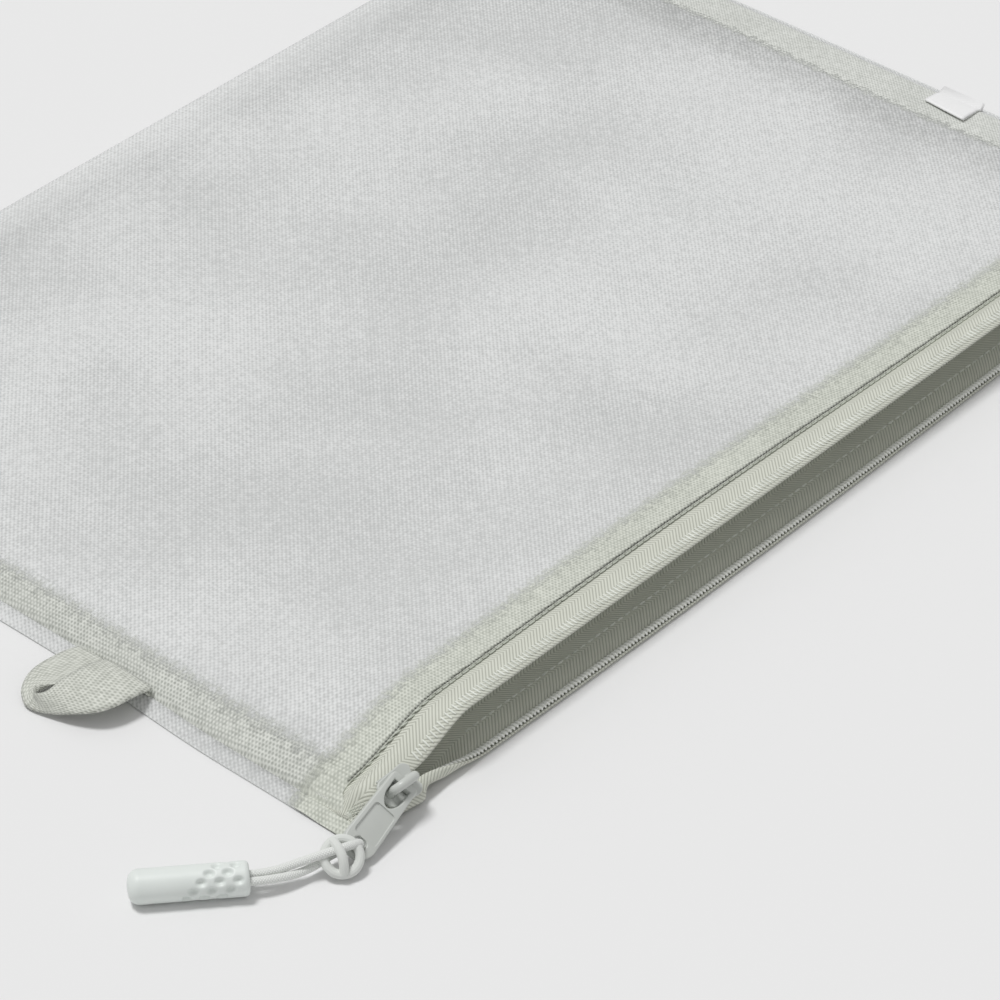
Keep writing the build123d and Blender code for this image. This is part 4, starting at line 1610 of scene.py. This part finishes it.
@dataclass
class CordPull:
    """Doubled cord hitched to the tab's eye, with a moulded grip on its ends."""

    route: tuple = (
        (-196.63, -114.74, 4.0), (-193.28, -117.74, 4.0), (-186.4, -121.4, 5.1), (-178.57, -126.26, 6.72),
        (-173.82, -127.64, 5.97), (-173.49, -124.62, 2.52), (-178.24, -123.24, 3.26), (-186.8, -122.3, 2.5),
        (-194.81, -119.46, 4.0), (-198.17, -116.46, 4.0),
    )
    diameter: float = 2.0
    length: float = 56.0
    eye: tuple = (-173.656, -126.127, 4.244)
    leave: tuple = (-0.94968, 0.27534, 0.14935)
    up: tuple = (-0.072217, -0.656424, 0.750927)
    face: tuple = (-197.4, -115.6, 4.0)
    way: tuple = (-0.745476, 0.666532, 0.0)
    side: tuple = (-0.666532, -0.745476, 0.0)
    grip_length: float = 26.85
    grip_radius: float = 4.0
    grip_runs: tuple = ((0.0, 1.1, 8), (1.3, 15.0, 90), (15.4, 24.0, 24))
    near_round: float = 1.1
    far_round: float = 2.6
    socket: tuple = ((0.7, 1.6), (0.05, 1.95))
    tip: tuple = (0.12, 0.8)
    tip_end: float = 0.15
    hitch_place: tuple = (5.2, 1.7)
    hitch_half: tuple = (3.8, 4.0)
    hitch_rise: float = 0.7
    hitch_dip: float = 1.3
    hitch_swell: float = 0.1
    bar_place: float = 1.0
    bar_half: float = 3.9
    bar_arch: float = 2.0
    dimple_zone: tuple = (1.2, 15.0)
    dimple_turn: float = 30.0
    dimple_phase: float = 217.5
    dimple_start: float = 2.5
    dimple_slant: float = 1.85
    dimple_pitch: float = 4.1
    dimple_first: float = 1.6
    dimple_half: tuple = (1.3, 1.05)
    dimple_edge: tuple = (1.2, 0.95)
    dimple_depth: float = 0.85

    def build_cord(self, finishes: Finishes) -> bpy.types.Object:
        """Makes the cord as one smooth line along its route."""
        curve = bpy.data.curves.new("pull_cord_loop", "CURVE")
        curve.dimensions = "3D"
        curve.bevel_depth = self.diameter / 2 * MM
        curve.bevel_resolution = 5
        curve.resolution_u = 16
        spline = curve.splines.new("NURBS")
        spline.points.add(len(self.route) - 1)
        for point, (x, y, z) in zip(spline.points, self.route):
            point.co = (x * MM, y * MM, z * MM, 1)
        spline.order_u = 3
        spline.use_endpoint_u = True
        cord = add_object("pull_cord_loop", curve)
        return settle(cord, Body.CORD, finishes.cord, ("pull_cord",))

    def build_hitch(self, finishes: Finishes) -> bpy.types.Object:
        """Makes the cord's own turn about the tab's end: a ring with a bar across the strands."""
        along = np.array(self.leave)
        up = np.array(self.up)
        across = np.cross(up, along)
        centre = np.array(self.eye) + along * self.hitch_place[0] + across * self.hitch_place[1]
        long, wide = self.hitch_half
        ring = []
        for turn in np.radians(np.arange(0, 360, 10)):
            out = along * (long * math.cos(turn)) + across * (wide * math.sin(turn))
            ring.append(centre + out + up * (self.hitch_rise - self.hitch_dip * math.cos(turn)))
        bar = []
        for share in np.linspace(-1, 1, 13):
            rise = self.hitch_rise + self.bar_arch * (1 - share * share)
            bar.append(centre + along * self.bar_place + across * (self.bar_half * share) + up * rise)
        radius = self.diameter / 2 + self.hitch_swell
        turns = [tube("ring", np.array(ring), radius, ring=True), tube("bar", np.array(bar), radius)]
        hitch = join("cord_hitch", turns)
        return settle(hitch, Body.CORD, finishes.hitch)

    def dimple(self, along: float, turn: float) -> float:
        """Depth of the grip's pressed pattern at a place on it.

        Args:
            along: distance from the cord's end, in millimetres.
            turn: angle round the grip from its top, in degrees.

        Returns:
            How far the surface lies below the plain cylinder.
        """
        found = 0.0
        apart = self.dimple_turn
        first = math.floor(turn / apart - 0.75)
        for row in (first, first + 1):
            middle = apart * (row + 0.75)
            folded = abs((middle + self.dimple_phase) % 360 - 180)
            start = self.dimple_start + self.dimple_slant * (folded - 90) / apart
            step = min(2, max(0, round((along - start) / self.dimple_pitch)))
            place = start + self.dimple_pitch * step
            if place > self.dimple_first:
                across = math.radians(turn - middle) * self.grip_radius / self.dimple_half[1]
                reach = math.hypot((along - place) / self.dimple_half[0], across)
                found = max(found, float(ease((self.dimple_edge[0] - reach) / self.dimple_edge[1])))
        return self.dimple_depth * found

    def build_grip(self, finishes: Finishes) -> bpy.types.Object:
        """Makes the grip: a rounded cylinder, pressed with rows of dimples near the cord."""
        sides = 120
        rounding = np.sin(np.radians(np.linspace(0, 90, 14)))
        alongs = [np.linspace(*run) for run in self.grip_runs]
        alongs.append(self.grip_length - self.far_round + self.far_round * rounding)
        points = [self.on_grip(self.socket[0][0], 0.0, 0.0)]
        rings = list(self.socket)
        for along in np.concatenate(alongs):
            near = max(0.0, 1 - along / self.near_round)
            far = max(0.0, 1 - (self.grip_length - along) / self.far_round)
            radius = self.grip_radius - self.near_round * (1 - math.sqrt(1 - near ** 2))
            radius -= self.far_round * (1 - math.sqrt(max(0.0, 1 - far ** 2)))
            rings.append((along, radius))
        rings.append((self.grip_length + self.tip[0], self.tip[1]))
        low, high = self.dimple_zone
        for along, radius in rings:
            for s in range(sides):
                turn = 360 * s / sides
                deep = self.dimple(along, turn) if low < along < high else 0.0
                points.append(self.on_grip(along, radius - deep, turn))
        points.append(self.on_grip(self.grip_length + self.tip_end, 0.0, 0.0))
        faces = []
        last = 1 + (len(rings) - 1) * sides
        for s in range(sides):
            beside = (s + 1) % sides
            faces.append((0, 1 + s, 1 + beside))
            faces.append((last + s, last + sides, last + beside))
        faces += ring_faces(len(rings), sides, 1)
        grip = add_piece("moulded_grip", np.array(points), faces, None, True)
        return settle(grip, Body.CORD, finishes.grip, ("cord_grip",))

    def on_grip(self, along: float, radius: float, turn: float) -> np.ndarray:
        """A point on the grip, by distance along it, radius and angle from its top."""
        a = math.radians(turn)
        up = np.array((0.0, 0.0, 1.0))
        out = math.cos(a) * up + math.sin(a) * np.array(self.side)
        return np.array(self.face) + np.array(self.way) * along + radius * out

    def build(self, finishes: Finishes) -> None:
        """Makes cord, hitch and grip."""
        cord = self.build_cord(finishes)
        hitch = self.build_hitch(finishes)
        grip = self.build_grip(finishes)


@dataclass
class RibbonLoop:
    """Ribbon folded into a loop and caught in the side seam."""

    pouch: Pouch
    inner: tuple = (
        (-166.0, -43.4, 3.9), (-169.6, -42.6, 5.0), (-175.0, -40.2, 5.2), (-180.4, -36.6, 5.4),
        (-184.0, -32.8, 5.3), (-186.2, -34.4, 4.9), (-184.4, -37.2, 5.2), (-180.0, -37.6, 6.3),
        (-175.0, -37.6, 6.5), (-169.6, -38.0, 6.0), (-166.0, -38.6, 4.7),
    )
    outer: tuple = (
        (-166.0, -29.4, 3.7), (-170.0, -28.4, 4.3), (-178.6, -26.4, 3.2), (-183.6, -28.2, 1.8),
        (-185.8, -30.6, 1.0), (-187.2, -33.8, 0.6), (-186.0, -38.6, 0.9), (-183.6, -46.6, 3.5),
        (-179.4, -52.6, 5.4), (-169.9, -54.2, 5.8), (-166.0, -53.8, 4.3),
    )
    stem: tuple = ((-156.4, 0.8), (-160.6, 0.9), (-163.8, 1.5), (-165.6, 2.8), (-166.2, 4.1))
    stem_edges: tuple = (-53.4, -29.6)
    width: float = 11.5
    crown: float = 0.45
    thickness: float = 0.5

    def build(self, finishes: Finishes) -> None:
        """Makes the ribbon and its ends inside the seam."""
        inner = smooth_line(np.array(self.inner), 64)
        outer = smooth_line(np.array(self.outer), 64)
        shares = np.linspace(0, 1, 10)
        grid = inner[:, None, :] + (outer - inner)[:, None, :] * shares[None, :, None]
        grid[:, :, 2] += self.crown * np.sin(math.pi * shares)[None, :]
        along = run_along((inner + outer) / 2)
        flat = np.stack(np.meshgrid(along, shares * self.width, indexing="ij"), axis=2)
        ribbon = thick_cloth("ribbon_strip", grid, flat, self.thickness)
        settle(ribbon, Body.LOOP, finishes.ribbon, ("ribbon_loop",))
        ends = self.pouch.stem_grid(self.stem, np.linspace(*self.stem_edges, 12))
        tail = thick_cloth("ribbon_ends", *ends, self.thickness)
        settle(tail, Body.WALLET, finishes.ribbon, ("loop_tail",))


@dataclass
class Label:
    """Small blank tape, folded double and caught in the other side seam."""

    pouch: Pouch
    base: tuple = ((160.4, -34.7), (162.6, -48.4))
    free: tuple = ((153.3, -35.6), (150.9, -50.4))
    lifts: tuple = (0.2, 0.4)
    hinge: tuple = (163.5, 5.9)
    stem: tuple = ((155.8, 0.75), (159.8, 0.8), (162.6, 1.4), (164.0, 3.2), (163.8, 4.8), (163.5, 5.8))
    stem_edges: tuple = (-47.6, -35.6)
    width: float = 14.5
    ground_gap: float = 0.3
    curl: float = 1.6
    fold: float = 0.5
    fold_start: float = 0.35
    hinge_gap: float = 0.35
    thickness: float = 0.2
    end_thickness: float = 0.4

    def line_across(self, share: float) -> np.ndarray:
        """Line from the hinge over the label's lower layer, round its fold and back over the upper one.

        Args:
            share: where on the label's width.

        Returns:
            Points of the line.
        """
        base = mix(np.array(self.base[0]), np.array(self.base[1]), share)
        free = mix(np.array(self.free[0]), np.array(self.free[1]), share)
        lift = mix(self.lifts[0], self.lifts[1], share)
        line = [(self.hinge[0], base[1], self.hinge[1])]
        out = np.linspace(0, 1, 12)
        for layer, order in ((0.0, out), (self.fold, out[::-1])):
            for way in order:
                at = mix(base, free, way)
                ground = float(self.pouch.height(at[0], at[1])) + self.ground_gap
                rise = lift * way ** self.curl + layer * min(1.0, self.fold_start + way)
                line.append((at[0], at[1], ground + rise))
            if layer == 0.0:
                away = free + (free - base) / np.linalg.norm(free - base) * (self.fold / 2)
                line.append((away[0], away[1], line[-1][2] + self.fold / 2))
        line.append((self.hinge[0], base[1], self.hinge[1] + self.hinge_gap))
        return np.array(line)

    def build(self, finishes: Finishes) -> None:
        """Makes the label and its end inside the seam."""
        rows = []
        flat = []
        for share in np.linspace(0, 1, 14):
            line = self.line_across(share)
            rows.append(line)
            flat.append(np.column_stack([np.full(len(line), share * self.width), run_along(line)]))
        label = thick_cloth("blank_label", np.array(rows), np.array(flat), self.thickness)
        settle(label, Body.LABEL, finishes.label, ("label",))
        ends = self.pouch.stem_grid(self.stem, np.linspace(*self.stem_edges, 8))
        tail = thick_cloth("label_end", *ends, self.end_thickness)
        settle(tail, Body.WALLET, finishes.label, ("label_tail",))


@dataclass
class Studio:
    """Floor, light and the camera at the photograph's viewpoint."""

    azimuth: float = -48.46
    elevation: float = 37.34
    distance: float = 1081.2
    aim: tuple = (-54.41, -62.46, 0.0)
    focal_share: float = 4.3925
    sensor: float = 36.0
    floor_half: float = 6000.0
    floor_grey: float = 0.81
    floor_roughness: float = 0.9
    floor_gloss: float = 0.1
    room_light: float = 0.47
    sun_light: float = 0.53
    sun_angle: float = 16.0
    sun_way: tuple = (-0.1, 0.27, 1.0)

    def build(self) -> None:
        """Makes the floor, the lamps and the camera."""
        turn = math.radians(self.azimuth)
        rise = math.radians(self.elevation)
        back = Vector((math.sin(turn) * math.cos(rise), -math.cos(turn) * math.cos(rise), math.sin(rise)))
        data = bpy.data.cameras.new("photo_camera")
        data.sensor_width = self.sensor
        data.lens = self.sensor * self.focal_share
        data.clip_start = 0.01
        camera = add_object("photo_camera", data)
        camera.location = (Vector(self.aim) + back * self.distance) * MM
        camera.rotation_euler = back.to_track_quat("Z", "Y").to_euler()
        bpy.context.scene.camera = camera
        self.build_floor()
        self.build_light()
        bpy.context.scene.view_settings.view_transform = "Standard"

    def build_floor(self) -> None:
        """Makes a wide pale floor."""
        size = self.floor_half
        corners = [(-size, -size, 0), (size, -size, 0), (size, size, 0), (-size, size, 0)]
        floor = add_piece("floor", np.array(corners), [(0, 1, 2, 3)])
        board = Board("floor_paper")
        board.shader.inputs["Base Color"].default_value = (*[self.floor_grey] * 3, 1)
        board.shader.inputs["Roughness"].default_value = self.floor_roughness
        board.shader.inputs["Specular IOR Level"].default_value = self.floor_gloss
        floor.data.materials.append(board.material)

    def build_light(self) -> None:
        """Lights the scene softly from all round, and more from behind on the left."""
        world = bpy.data.worlds.new("soft_room")
        world.use_nodes = True
        room = world.node_tree.nodes["Background"]
        room.inputs["Color"].default_value = (1, 1, 1, 1)
        room.inputs["Strength"].default_value = self.room_light
        bpy.context.scene.world = world
        sun = bpy.data.lights.new("window", "SUN")
        sun.angle = math.radians(self.sun_angle)
        toward = Vector(self.sun_way).normalized()
        sun.energy = self.sun_light * math.pi / toward.z
        lamp = add_object("window", sun)
        lamp.rotation_euler = toward.to_track_quat("Z", "Y").to_euler()


def main() -> None:
    """Builds the wallet and its studio."""
    logging.basicConfig(level=logging.INFO, format="%(message)s")
    Studio().build()
    finishes = Finishes()
    CordPull().build(finishes)
    pouch = Pouch()
    pouch.build(finishes)
    Zip(pouch).build(finishes)
    Slider().build(finishes)
    RibbonLoop(pouch).build(finishes)
    Label(pouch).build(finishes)


if __name__ == "__main__":
    main()
